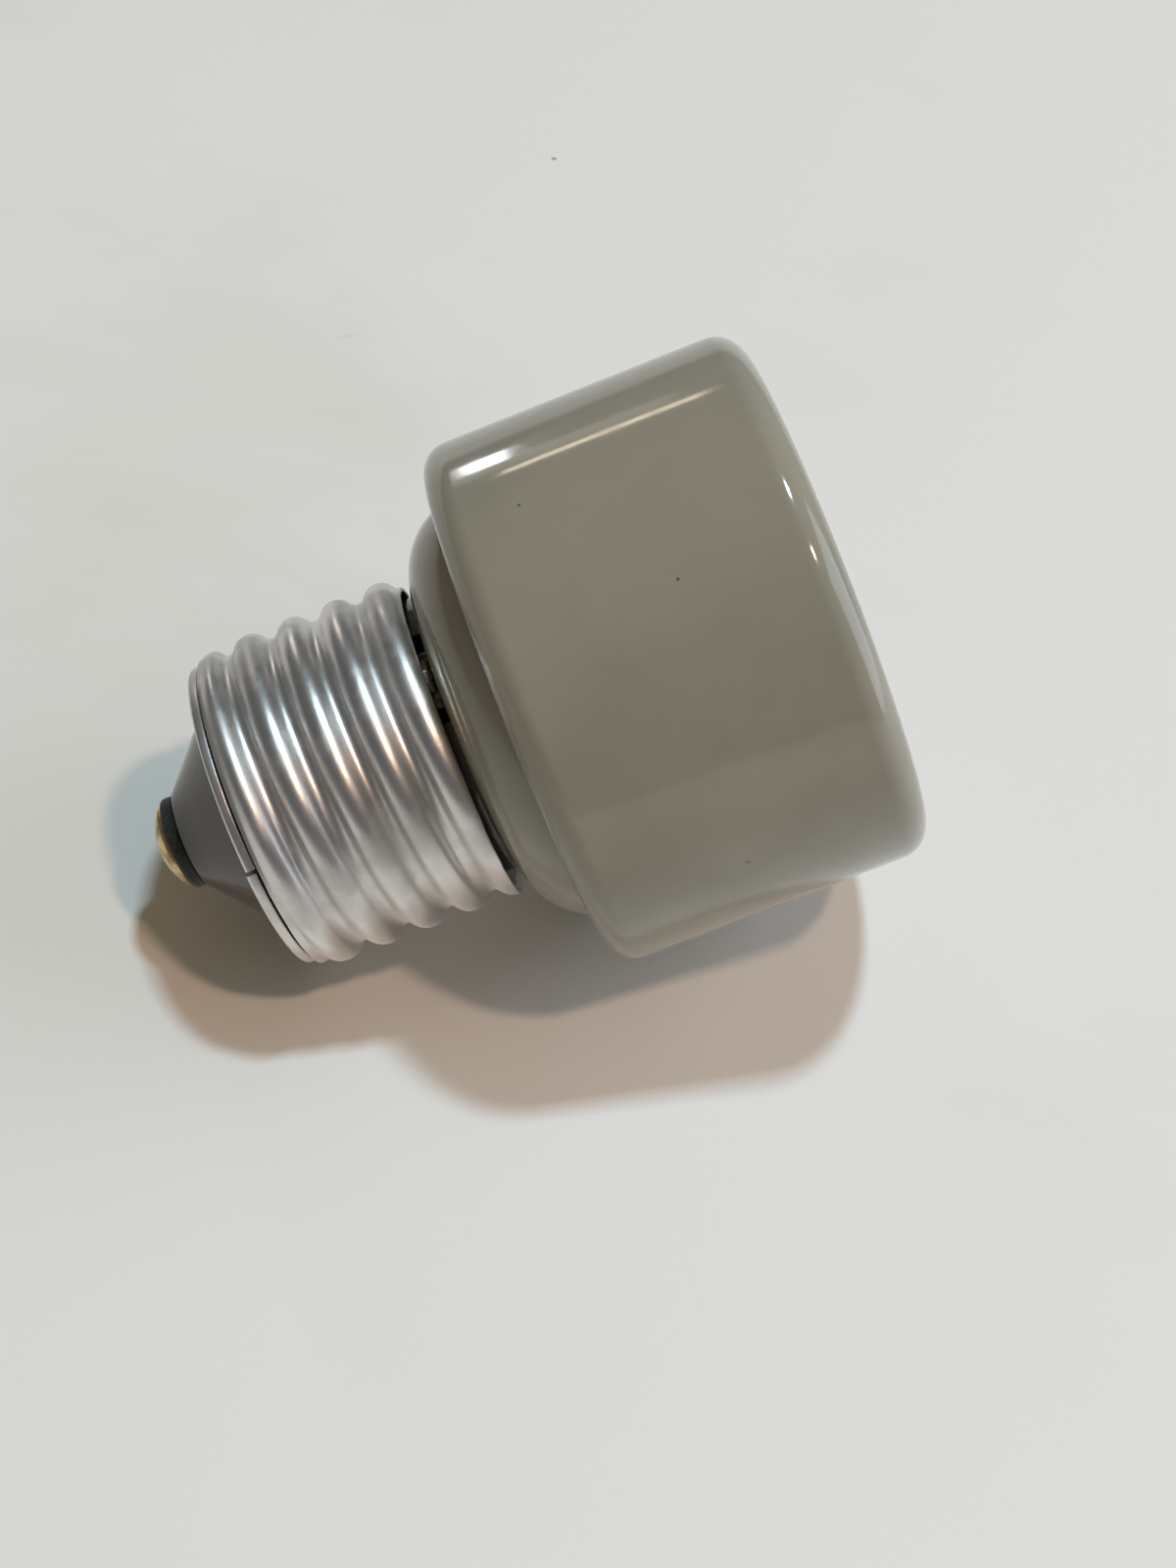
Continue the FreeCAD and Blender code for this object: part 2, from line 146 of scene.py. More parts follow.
class Paint:
    """Node tree of one material or world, in which one method makes every node."""

    def __init__(self, owner: Union[bpy.types.Material, bpy.types.World]) -> None:
        """Empties the owner's node tree.

        Args:
            owner: The material or world to paint.
        """
        owner.use_nodes = True
        self.owner = owner
        self.tree = owner.node_tree
        self.tree.nodes.clear()

    def node(self, kind: str, settings: Mapping[str, Any], sockets: Mapping[Any, Any],
             output: Any = 0) -> Signal:
        """Adds a node.

        Args:
            kind: The node's type.
            settings: Its properties, which are set first.
            sockets: Values or signals for its input sockets, by name or number.
            output: The output socket that is wanted, by name or number.

        Returns:
            The wanted output, or an empty signal from a node without outputs.
        """
        made = self.tree.nodes.new(kind)
        for key, value in settings.items():
            setattr(made, key, value)
        for key, value in sockets.items():
            socket = made.inputs[key]
            if isinstance(value, Signal):
                self.tree.links.new(value.socket, socket)
            elif socket.type == "RGBA":
                socket.default_value = (*value, 1.0)
            else:
                socket.default_value = value
        return Signal(self, made.outputs[output] if made.outputs else None)

    def where(self) -> Signal:
        """Object coordinates in metres."""
        return self.node("ShaderNodeTexCoord", {}, {}, "Object")

    def noise(self, cloud: Cloud) -> Signal:
        """Soft noise over its whole range.

        Args:
            cloud: The noise that is wanted.

        Returns:
            The noise, from 0 to 1.
        """
        place = self.node("ShaderNodeMapping", {}, {"Vector": self.where(), "Scale": cloud.stretch})
        sockets = {"Vector": place, "Scale": cloud.per_metre, "Detail": cloud.detail}
        return self.node("ShaderNodeTexNoise", {}, {**sockets, "Roughness": NOISE_ROUGHNESS}, "Fac")

    def cloud(self, cloud: Cloud) -> Signal:
        """Soft noise, 0 below the cloud's range and 1 above it."""
        return self.ramp(self.noise(cloud), cloud.low, cloud.high)

    def ramp(self, signal: Signal, low: float, high: float, start: float = 0.0, end: float = 1.0) -> Signal:
        """Stretches low to high of a signal smoothly to start to end, and clamps it."""
        sockets = {"Value": signal, "From Min": low, "From Max": high, "To Min": start, "To Max": end}
        return self.node("ShaderNodeMapRange", {"interpolation_type": "SMOOTHSTEP"}, sockets)

    def mix(self, first: Any, second: Any, share: Any) -> Signal:
        """Mixes two colours by the share of the second."""
        sockets = {MIX_SHARE: share, MIX_FIRST: first, MIX_SECOND: second}
        return self.node("ShaderNodeMix", {"data_type": "RGBA"}, sockets, MIX_RESULT)

    def specks(self, specks: Specks) -> Signal:
        """Scattered round specks.

        Args:
            specks: The specks that are wanted.

        Returns:
            1 in a speck, else 0.
        """
        sockets = {"Vector": self.where(), "Scale": specks.per_metre, "Randomness": 1.0}
        near = self.node("ShaderNodeTexVoronoi", {}, sockets, "Distance")
        tint = self.node("ShaderNodeTexVoronoi", {}, sockets, "Color")
        pick = self.node("ShaderNodeSeparateColor", {}, {"Color": tint}, "Red")
        return self.ramp(near, specks.size, specks.size * SPECK_CORE) * pick.above(1.0 - specks.share)

    def spot(self, centre: Triple, radius: float) -> Signal:
        """One round spot.

        Args:
            centre: Its centre in metres.
            radius: Its radius in metres.

        Returns:
            1 inside, fading to 0 at its edge.
        """
        sockets = {0: self.where(), 1: centre}
        away = self.node("ShaderNodeVectorMath", {"operation": "DISTANCE"}, sockets, "Value")
        return self.ramp(away, radius, radius * SPOT_CORE)

    def bump(self, height: Signal, depth: float) -> Signal:
        """Surface normal of a height, where 1 stands out by the depth in metres."""
        sockets = {"Strength": 1.0, "Distance": depth, "Height": height}
        return self.node("ShaderNodeBump", {}, sockets, "Normal")

    def light(self, colour: Colour) -> Signal:
        """Plain world light of one colour at strength 1."""
        return self.node("ShaderNodeBackground", {}, {"Color": colour, "Strength": 1.0})

    def blend(self, share: Signal, first: Signal, second: Signal) -> Signal:
        """Mixes two shaders by the share of the second."""
        return self.node("ShaderNodeMixShader", {}, {0: share, 1: first, 2: second})

    def surface(self, sockets: Mapping[str, Any]) -> bpy.types.Material:
        """Ends a material with a Principled shader.

        Args:
            sockets: Values or signals of the shader's sockets.

        Returns:
            The material.
        """
        shader = self.node("ShaderNodeBsdfPrincipled", {}, sockets, "BSDF")
        self.node("ShaderNodeOutputMaterial", {}, {"Surface": shader})
        return self.owner


@dataclass(frozen=True)
class Finish:
    """A finish: the record's material slot, and how its material is painted."""

    slot: str

    def paint(self) -> bpy.types.Material:
        """Paints the material once.

        Returns:
            The material, which is painted now or was painted before.
        """
        name = type(self).__name__ + "_" + self.slot
        if name in bpy.data.materials:
            return bpy.data.materials[name]
        return self.brush(Paint(bpy.data.materials.new(name)))

    def brush(self, paint: Paint) -> bpy.types.Material:
        """Fills an empty node tree and returns its material."""
        raise NotImplementedError


@dataclass(frozen=True)
class GlazedPorcelain(Finish):
    """Warm grey porcelain under a clear, slightly wavy glaze, with iron specks, and painted shade that
    darkens the core and cone.
    """

    slot: str = "glazed_porcelain"
    body: Colour = (0.272, 0.265, 0.218)
    pale: Colour = (0.325, 0.312, 0.262)
    warm: Colour = (0.318, 0.286, 0.228)
    iron: Colour = (0.060, 0.045, 0.035)
    # The next colour is painted shade: it darkens the core and cone above the collar's top.
    painted_shade: Colour = (0.042, 0.040, 0.038)
    drift: Cloud = Cloud(60.0, 3.0, 0.38, 0.64)
    drift_share: float = 0.65
    mottle: Cloud = Cloud(380.0, 4.0, 0.30, 0.72)
    mottle_share: float = 0.15
    flush: Cloud = Cloud(34.0, 2.0, 0.42, 0.68, (1.0, 1.0, 0.6))
    flush_share: float = 0.45
    painted_shade_share: float = 0.90
    painted_shade_from: float = 0.0306
    painted_shade_edge: float = 0.0003
    specks: Specks = Specks(300.0, 0.045, 0.05)
    speck_share: float = 0.8
    speck_pit: float = 0.3
    speck_roughness: float = 0.2
    spots: tuple[tuple[float, float], ...] = ((-57.6, 19.9), (-84.9, 11.3), (-146.2, 13.9))
    spot_size: float = 0.00017
    drum_radius: float = 0.0216
    roughness: float = 0.075
    mottle_roughness: float = 0.03
    swell: Cloud = Cloud(95.0, 1.0)
    ripple: Cloud = Cloud(700.0, 2.0)
    ripple_share: float = 0.05
    wave: float = 0.00003
    glaze_index: float = 1.52

    def marks(self, paint: Paint) -> Signal:
        """Iron specks all over, and three larger spots on the drum.

        Args:
            paint: The node tree.

        Returns:
            1 in a mark, else 0.
        """
        dark = paint.specks(self.specks)
        for angle, rise in self.spots:
            turn = math.radians(angle)
            centre = (math.cos(turn) * self.drum_radius, math.sin(turn) * self.drum_radius, rise * MM)
            dark = dark.larger(paint.spot(centre, self.spot_size))
        return dark

    def brush(self, paint: Paint) -> bpy.types.Material:
        """Fills the node tree.

        Args:
            paint: The empty node tree.

        Returns:
            The material.
        """
        mottle = paint.cloud(self.mottle)
        pale = paint.cloud(self.drift) * self.drift_share + mottle * self.mottle_share
        colour = paint.mix(self.body, self.pale, pale)
        colour = paint.mix(colour, self.warm, paint.cloud(self.flush) * self.flush_share)
        # Painted shade: from just over the collar's top upward, the core seen in the gap under the shell and
        # the tip cone are darkened almost to black.
        height = paint.node("ShaderNodeSeparateXYZ", {}, {"Vector": paint.where()}, "Z")
        shaded_above = paint.ramp(height, self.painted_shade_from, self.painted_shade_from + self.painted_shade_edge)
        colour = paint.mix(colour, self.painted_shade, shaded_above * self.painted_shade_share)
        dark = self.marks(paint)
        waves = paint.noise(self.swell) + paint.noise(self.ripple) * self.ripple_share - dark * self.speck_pit
        rough = paint.ramp(mottle, 0.0, 1.0, self.roughness, self.roughness + self.mottle_roughness)
        return paint.surface({
            "Base Color": paint.mix(colour, self.iron, dark * self.speck_share),
            "Roughness": rough + dark * self.speck_roughness,
            "Normal": paint.bump(waves, self.wave),
            "IOR": self.glaze_index,
        })


@dataclass(frozen=True)
class RolledAluminium(Finish):
    """Bright aluminium sheet with the drawn lines of the rolls and a dull, frosted bloom."""

    slot: str = "rolled_aluminium"
    metal: Colour = (0.77, 0.75, 0.73)
    bloom: Colour = (0.60, 0.575, 0.55)
    roughness: float = 0.34
    bloom_roughness: float = 0.50
    patch: Cloud = Cloud(190.0, 4.0, 0.40, 0.68)
    patch_share: float = 0.6
    lines: Cloud = Cloud(1.0, 3.0, stretch=(260.0, 260.0, 12000.0))
    line_share: float = 0.25
    line_height: float = 0.7
    grain: Cloud = Cloud(8500.0, 3.0)
    grain_height: float = 0.9
    grain_middle: float = 0.5
    grain_roughness: float = 0.24
    nicks: Specks = Specks(900.0, 0.07, 0.10)
    line_depth: float = 0.000010

    def brush(self, paint: Paint) -> bpy.types.Material:
        """Fills the node tree.

        Args:
            paint: The empty node tree.

        Returns:
            The material.
        """
        patch = paint.cloud(self.patch)
        lines = paint.noise(self.lines)
        grain = paint.noise(self.grain)
        rough = paint.ramp(patch, 0.0, 1.0, self.roughness, self.bloom_roughness)
        height = lines * self.line_height + grain * self.grain_height - paint.specks(self.nicks)
        dull = patch * self.patch_share + lines * self.line_share
        return paint.surface({
            "Base Color": paint.mix(self.metal, self.bloom, dull),
            "Metallic": 1.0,
            "Roughness": rough + (grain - self.grain_middle) * self.grain_roughness,
            "Normal": paint.bump(height, self.line_depth),
        })


@dataclass(frozen=True)
class BareMetal(Finish):
    """Bare turned or stamped metal with fine tool marks and tarnish."""

    slot: str = "contact_brass"
    metal: Colour = (0.78, 0.60, 0.27)
    tarnish: Colour = (0.22, 0.14, 0.055)
    roughness: float = 0.22
    tarnish_share: float = 0.80
    grain: Triple = (900.0, 900.0, 9000.0)
    grain_detail: float = 3.0
    grain_depth: float = 0.000004
    grain_roughness: float = 0.08
    stain: Cloud = Cloud(650.0, 5.0, 0.38, 0.70)
    stain_roughness: float = 0.35
    pits: Specks = Specks(2200.0, 0.12, 0.12)
    pit_share: float = 0.4
    pit_height: float = 0.6

    def brush(self, paint: Paint) -> bpy.types.Material:
        """Fills the node tree.

        Args:
            paint: The empty node tree.

        Returns:
            The material.
        """
        marks = paint.noise(Cloud(1.0, self.grain_detail, stretch=self.grain))
        pits = paint.specks(self.pits)
        share = paint.cloud(self.stain) * self.tarnish_share + pits * self.pit_share
        return paint.surface({
            "Base Color": paint.mix(self.metal, self.tarnish, share),
            "Metallic": 1.0,
            "Roughness": share * self.stain_roughness + marks * self.grain_roughness + self.roughness,
            "Normal": paint.bump(marks - pits * self.pit_height, self.grain_depth),
        })


@dataclass(frozen=True)
class PressedFibre(Finish):
    """Pressed fibre board with short matted fibres."""

    slot: str = "black_fibre"
    body: Colour = (0.014, 0.015, 0.014)
    fibre: Colour = (0.050, 0.050, 0.046)
    roughness: float = 0.52
    along: Cloud = Cloud(1.0, 3.0, stretch=(1300.0, 5200.0, 5200.0))
    across: Cloud = Cloud(1.0, 3.0, stretch=(5200.0, 1300.0, 5200.0))
    fibres_from: float = 0.50
    fibres_full: float = 0.72
    fibre_roughness: float = 0.2
    fibre_depth: float = 0.00002

    def brush(self, paint: Paint) -> bpy.types.Material:
        """Fills the node tree.

        Args:
            paint: The empty node tree.

        Returns:
            The material.
        """
        matted = paint.noise(self.along).larger(paint.noise(self.across))
        fibres = paint.ramp(matted, self.fibres_from, self.fibres_full)
        return paint.surface({
            "Base Color": paint.mix(self.body, self.fibre, fibres),
            "Roughness": fibres * self.fibre_roughness + self.roughness,
            "Normal": paint.bump(fibres, self.fibre_depth),
        })


@dataclass(frozen=True)
class SetSolder(Finish):
    """Solder that has set in a bright, slightly crazed skin, with flux left on it."""

    slot: str = "solder"
    tin: Colour = (0.72, 0.72, 0.73)
    resin: Colour = (0.33, 0.24, 0.12)
    flux: Cloud = Cloud(1900.0, 3.0, 0.55, 0.70)
    flux_share: float = 0.8
    skin: Cloud = Cloud(5200.0, 4.0)
    skin_roughness: float = 0.25
    skin_depth: float = 0.00002
    roughness: float = 0.14

    def brush(self, paint: Paint) -> bpy.types.Material:
        """Fills the node tree.

        Args:
            paint: The empty node tree.

        Returns:
            The material.
        """
        flux = paint.cloud(self.flux)
        skin = paint.noise(self.skin)
        return paint.surface({
            "Base Color": paint.mix(self.tin, self.resin, flux),
            "Metallic": 1.0 - flux * self.flux_share,
            "Roughness": skin * self.skin_roughness + self.roughness,
            "Normal": paint.bump(skin, self.skin_depth),
        })


PORCELAIN = GlazedPorcelain()
BASE_ALUMINIUM = RolledAluminium()
SOCKET_ALUMINIUM = RolledAluminium("socket_aluminium", roughness=0.28, bloom_roughness=0.42)
CONTACT_BRASS = BareMetal()
LEAF_BRONZE = BareMetal("leaf_bronze", metal=(0.74, 0.48, 0.27), tarnish=(0.36, 0.19, 0.10), roughness=0.28,
                        tarnish_share=0.35, grain=(400.0, 6000.0, 400.0))
STRAP_BRASS = BareMetal("strap_brass", metal=(0.52, 0.45, 0.32), tarnish=(0.10, 0.08, 0.06), roughness=0.34,
                        tarnish_share=0.90, grain=(4000.0, 4000.0, 700.0))
SCREW_STEEL = BareMetal("screw_steel", metal=(0.66, 0.66, 0.65), tarnish=(0.36, 0.35, 0.32), roughness=0.26,
                        tarnish_share=0.30, grain=(2500.0, 2500.0, 2500.0))
BLACK_FIBRE = PressedFibre()
GREY_FIBRE = PressedFibre("grey_fibre", body=(0.25, 0.235, 0.215), fibre=(0.38, 0.36, 0.33), roughness=0.70)
SOLDER = SetSolder()


# -------------------------------------------------------------------- shapes
class Outline:
    """Section drawn in the XZ plane, in millimetres, and then spun about the axis."""

    def __init__(self, radius: float, height: float) -> None:
        """Starts the line.

        Args:
            radius: Distance of its first point from the axis.
            height: Height of its first point.
        """
        self.mesh = bmesh.new()
        self.pen = self.mesh.verts.new((radius, 0.0, height))
        self.first = self.pen

    def to(self, radius: float, height: float, parts: int = 1) -> "Outline":
        """Draws a straight line.

        Args:
            radius: Distance of its end from the axis.
            height: Height of its end.
            parts: Number of edges it is made of.

        Returns:
            The outline.
        """
        step = (Vector((radius, 0.0, height)) - self.pen.co) / parts
        for _ in range(parts):
            made = bmesh.ops.extrude_vert_indiv(self.mesh, verts=[self.pen])
            self.pen = made["verts"][0]
            self.pen.co += step
        return self

    def arc(self, radius: float, height: float, bend: float, steps: int = 8) -> "Outline":
        """Draws an arc of less than half a turn.

        Args:
            radius: Distance of its end from the axis.
            height: Height of its end.
            bend: Its radius: positive turns left, from +X towards +Z, and negative turns right.
            steps: Number of edges it is made of.

        Returns:
            The outline.
        """
        end = Vector((radius, 0.0, height))
        chord = end - self.pen.co
        half = chord.length / 2.0
        side = math.copysign(1.0, bend)
        left = Vector((-chord.z, 0.0, chord.x)).normalized() * side
        centre = (self.pen.co + end) / 2.0 + left * math.sqrt(max(bend * bend - half * half, 0.0))
        turn = 2.0 * math.asin(min(half / abs(bend), 1.0)) * side
        made = bmesh.ops.spin(self.mesh, geom=[self.pen], cent=centre, axis=-Vector((0.0, 1.0, 0.0)),
                              angle=turn, steps=steps, use_duplicate=False)
        self.pen = parts_of(made["geom_last"], bmesh.types.BMVert)[0]
        return self

    def close(self) -> "Outline":
        """Joins the line's end to its start."""
        self.mesh.edges.new((self.pen, self.first))
        return self

    def lathe(self, steps: int = 96) -> bmesh.types.BMesh:
        """Spins the line a full turn about the axis.

        Args:
            steps: Number of faces round the axis.

        Returns:
            The mesh, welded, with its faces outwards.
        """
        geometry = self.mesh.verts[:] + self.mesh.edges[:]
        bmesh.ops.spin(self.mesh, geom=geometry, cent=(0, 0, 0), axis=AXIS, angle=math.tau,
                       steps=steps, use_merge=True)
        return weld(self.mesh)


def parts_of(geometry: Iterable[Any], kind: type) -> list[Any]:
    """Picks the vertices, edges or faces from an operator's geometry."""
    return [part for part in geometry if isinstance(part, kind)]


def weld(shape: bmesh.types.BMesh) -> bmesh.types.BMesh:
    """Merges doubles and turns the faces outwards.

    Args:
        shape: The mesh.

    Returns:
        The same mesh.
    """
    bmesh.ops.remove_doubles(shape, verts=shape.verts[:], dist=WELD)
    loose = [edge for edge in shape.edges if not edge.link_faces]
    bmesh.ops.delete(shape, geom=loose, context="EDGES")
    bmesh.ops.recalc_face_normals(shape, faces=shape.faces[:])
    return shape


def thicken(shape: bmesh.types.BMesh, wall: float) -> bmesh.types.BMesh:
    """Gives a sheet its wall, on the side its faces look away from.

    Args:
        shape: The sheet, with its faces outwards.
        wall: Its thickness.

    Returns:
        The closed sheet.
    """
    bmesh.ops.solidify(shape, geom=shape.faces[:], thickness=wall)
    if shape.calc_volume(signed=True) < 0.0:
        bmesh.ops.reverse_faces(shape, faces=shape.faces[:])
    return shape


def round_off(shape: bmesh.types.BMesh, edges: Sequence[bmesh.types.BMEdge], width: float,
              segments: int) -> bmesh.types.BMesh:
    """Rounds some edges.

    Args:
        shape: The mesh.
        edges: The edges.
        width: Width of the rounding.
        segments: Faces across the rounding.

    Returns:
        The same mesh.
    """
    bmesh.ops.bevel(shape, geom=edges, offset=width, offset_type="OFFSET", segments=segments, profile=0.5,
                    affect="EDGES", material=-1, clamp_overlap=True)
    return shape


def break_edges(shape: bmesh.types.BMesh, width: float, segments: int = 2) -> bmesh.types.BMesh:
    """Rounds every sharp edge of a shape.

    Args:
        shape: The mesh.
        width: Width of the rounding.
        segments: Faces across the rounding.

    Returns:
        The same mesh.
    """
    limit = math.radians(SHARP)
    sharp = [edge for edge in shape.edges if edge.is_manifold and edge.calc_face_angle(0.0) > limit]
    return round_off(shape, sharp, width, segments)


def turned_by(shape: bmesh.types.BMesh, angle: float, about: str = "Z") -> bmesh.types.BMesh:
    """Turns a shape about an axis through the origin.

    Args:
        shape: The mesh.
        angle: Degrees.
        about: The axis.

    Returns:
        The same mesh.
    """
    matrix = Matrix.Rotation(math.radians(angle), 3, about)
    bmesh.ops.rotate(shape, cent=(0, 0, 0), matrix=matrix, verts=shape.verts[:])
    return shape


def moved_by(shape: bmesh.types.BMesh, x: float, y: float, z: float) -> bmesh.types.BMesh:
    """Moves a shape and returns it."""
    bmesh.ops.translate(shape, vec=(x, y, z), verts=shape.verts[:])
    return shape


def block(low: Sequence[float], high: Sequence[float]) -> bmesh.types.BMesh:
    """Box between two corners.

    Args:
        low: Lowest corner.
        high: Highest corner.

    Returns:
        The box.
    """
    shape = bmesh.new()
    bmesh.ops.create_cube(shape, size=1.0)
    bmesh.ops.scale(shape, vec=Vector(high) - Vector(low), verts=shape.verts[:])
    return moved_by(shape, *((Vector(high) + Vector(low)) / 2.0))


def rod(radius: float, low: float, high: float, away: float = 0.0, sides: int = 40) -> bmesh.types.BMesh:
    """Plain upright cylinder.

    Args:
        radius: Its radius.
        low: Height of its lower end.
        high: Height of its upper end.
        away: Distance of its axis from the main axis, along +X.
        sides: Number of faces round it.

    Returns:
        The cylinder.
    """
    shape = bmesh.new()
    bmesh.ops.create_cone(shape, cap_ends=True, segments=sides, radius1=radius, radius2=radius,
                          depth=high - low)
    return moved_by(shape, away, 0.0, (low + high) / 2.0)


def flat_washer(hole: float, radius: float, low: float, high: float, edge: float, parts: int) -> Outline:
    """Section of a flat washer with its lower rim rounded.

    Args:
        hole: Radius of its hole.
        radius: Its own radius.
        low: Height of its lower face.
        high: Height of its upper face.
        edge: Rounding of its lower rim.
        parts: Number of edges across a face.

    Returns:
        The closed section.
    """
    line = Outline(hole, low).to(radius - edge, low, parts).arc(radius, low + edge, edge, 3)
    return line.to(radius, high, 2).to(hole, high, parts).close()


def cap_bend(radius: float, rise: float) -> float:
    """Radius of the sphere whose cap has a radius and a rise."""
    return (radius ** 2 + rise ** 2) / (2.0 * rise)


def opposite(angle: float) -> tuple[float, float]:
    """An angle and the one across from it."""
    return angle, angle + 180.0


def ease(value: float) -> float:
    """0 to 1 with level ends."""
    share = min(max(value, 0.0), 1.0)
    return share * share * (3.0 - 2.0 * share)


def draw_rim(shape: bmesh.types.BMesh, rim: Sequence[bmesh.types.BMEdge], radius: float,
             height: float) -> list[bmesh.types.BMEdge]:
    """Draws a round rim on to a new radius and height.

    Args:
        shape: The mesh.
        rim: Edges of the rim.
        radius: The new radius.
        height: The new height.

    Returns:
        Edges of the new rim.
    """
    made = bmesh.ops.extrude_edge_only(shape, edges=rim)["geom"]
    for vert in parts_of(made, bmesh.types.BMVert):
        size = radius / math.hypot(vert.co.x, vert.co.y)
        vert.co = Vector((vert.co.x * size, vert.co.y * size, height))
    return parts_of(made, bmesh.types.BMEdge)


def carve(shape: bmesh.types.BMesh, cutters: Sequence[bmesh.types.BMesh]) -> bmesh.types.BMesh:
    """Cuts shapes out of a shape.

    Args:
        shape: The shape that is cut.
        cutters: What is cut out of it.

    Returns:
        The cut shape.
    """
    blank = make_object(shape, "blank")
    for cutter in cutters:
        cut = blank.modifiers.new("cut", "BOOLEAN")
        cut.operation = "DIFFERENCE"
        cut.solver = "EXACT"
        cut.object = make_object(cutter, "tool")
    made = bmesh.new()
    made.from_object(blank, bpy.context.evaluated_depsgraph_get())
    for thing in [cut.object for cut in blank.modifiers] + [blank]:
        bpy.data.objects.remove(thing)
    bmesh.ops.remove_doubles(made, verts=made.verts[:], dist=CUT_WELD)
    return made


def join(shapes: Sequence[bmesh.types.BMesh]) -> bmesh.types.BMesh:
    """Puts several shapes in one mesh.

    Args:
        shapes: The shapes, which are used up.

    Returns:
        The mesh.
    """
    whole = bmesh.new()
    for shape in shapes:
        mesh = bpy.data.meshes.new("part")
        shape.to_mesh(mesh)
        shape.free()
        whole.from_mesh(mesh)
        bpy.data.meshes.remove(mesh)
    return whole


def make_object(shape: bmesh.types.BMesh, name: str) -> bpy.types.Object:
    """Makes an object of a mesh and links it to the scene.

    Args:
        shape: The mesh, which is used up.
        name: The object's name.

    Returns:
        The object.
    """
    mesh = bpy.data.meshes.new(name)
    shape.to_mesh(mesh)
    shape.free()
    made = bpy.data.objects.new(name, mesh)
    bpy.context.scene.collection.objects.link(made)
    return made


def place_piece(shape: bmesh.types.BMesh, name: str, finish: Finish, nodes: Sequence[str],
                body: Body = Body.HOLDER, crease: float = 38.0) -> bpy.types.Object:
    """Makes a finished piece of a mesh in millimetres.

    Args:
        shape: The mesh, which is used up.
        name: The piece's name.
        finish: Its finish.
        nodes: The CAD nodes it stands for.
        body: The body it moves with.
        crease: Edges sharper than this angle stay sharp.

    Returns:
        The piece.
    """
    bmesh.ops.scale(shape, vec=(MM, MM, MM), verts=shape.verts[:])
    limit = math.radians(crease)
    for face in shape.faces:
        face.smooth = True
    for edge in shape.edges:
        edge.smooth = edge.calc_face_angle(0.0) < limit
    piece = make_object(shape, name)
    piece.data.materials.append(finish.paint())
    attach(piece, body.value)
    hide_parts(*nodes)
    LOG.info("%s: %d faces, %s", name, len(piece.data.polygons), finish.slot)
    return piece


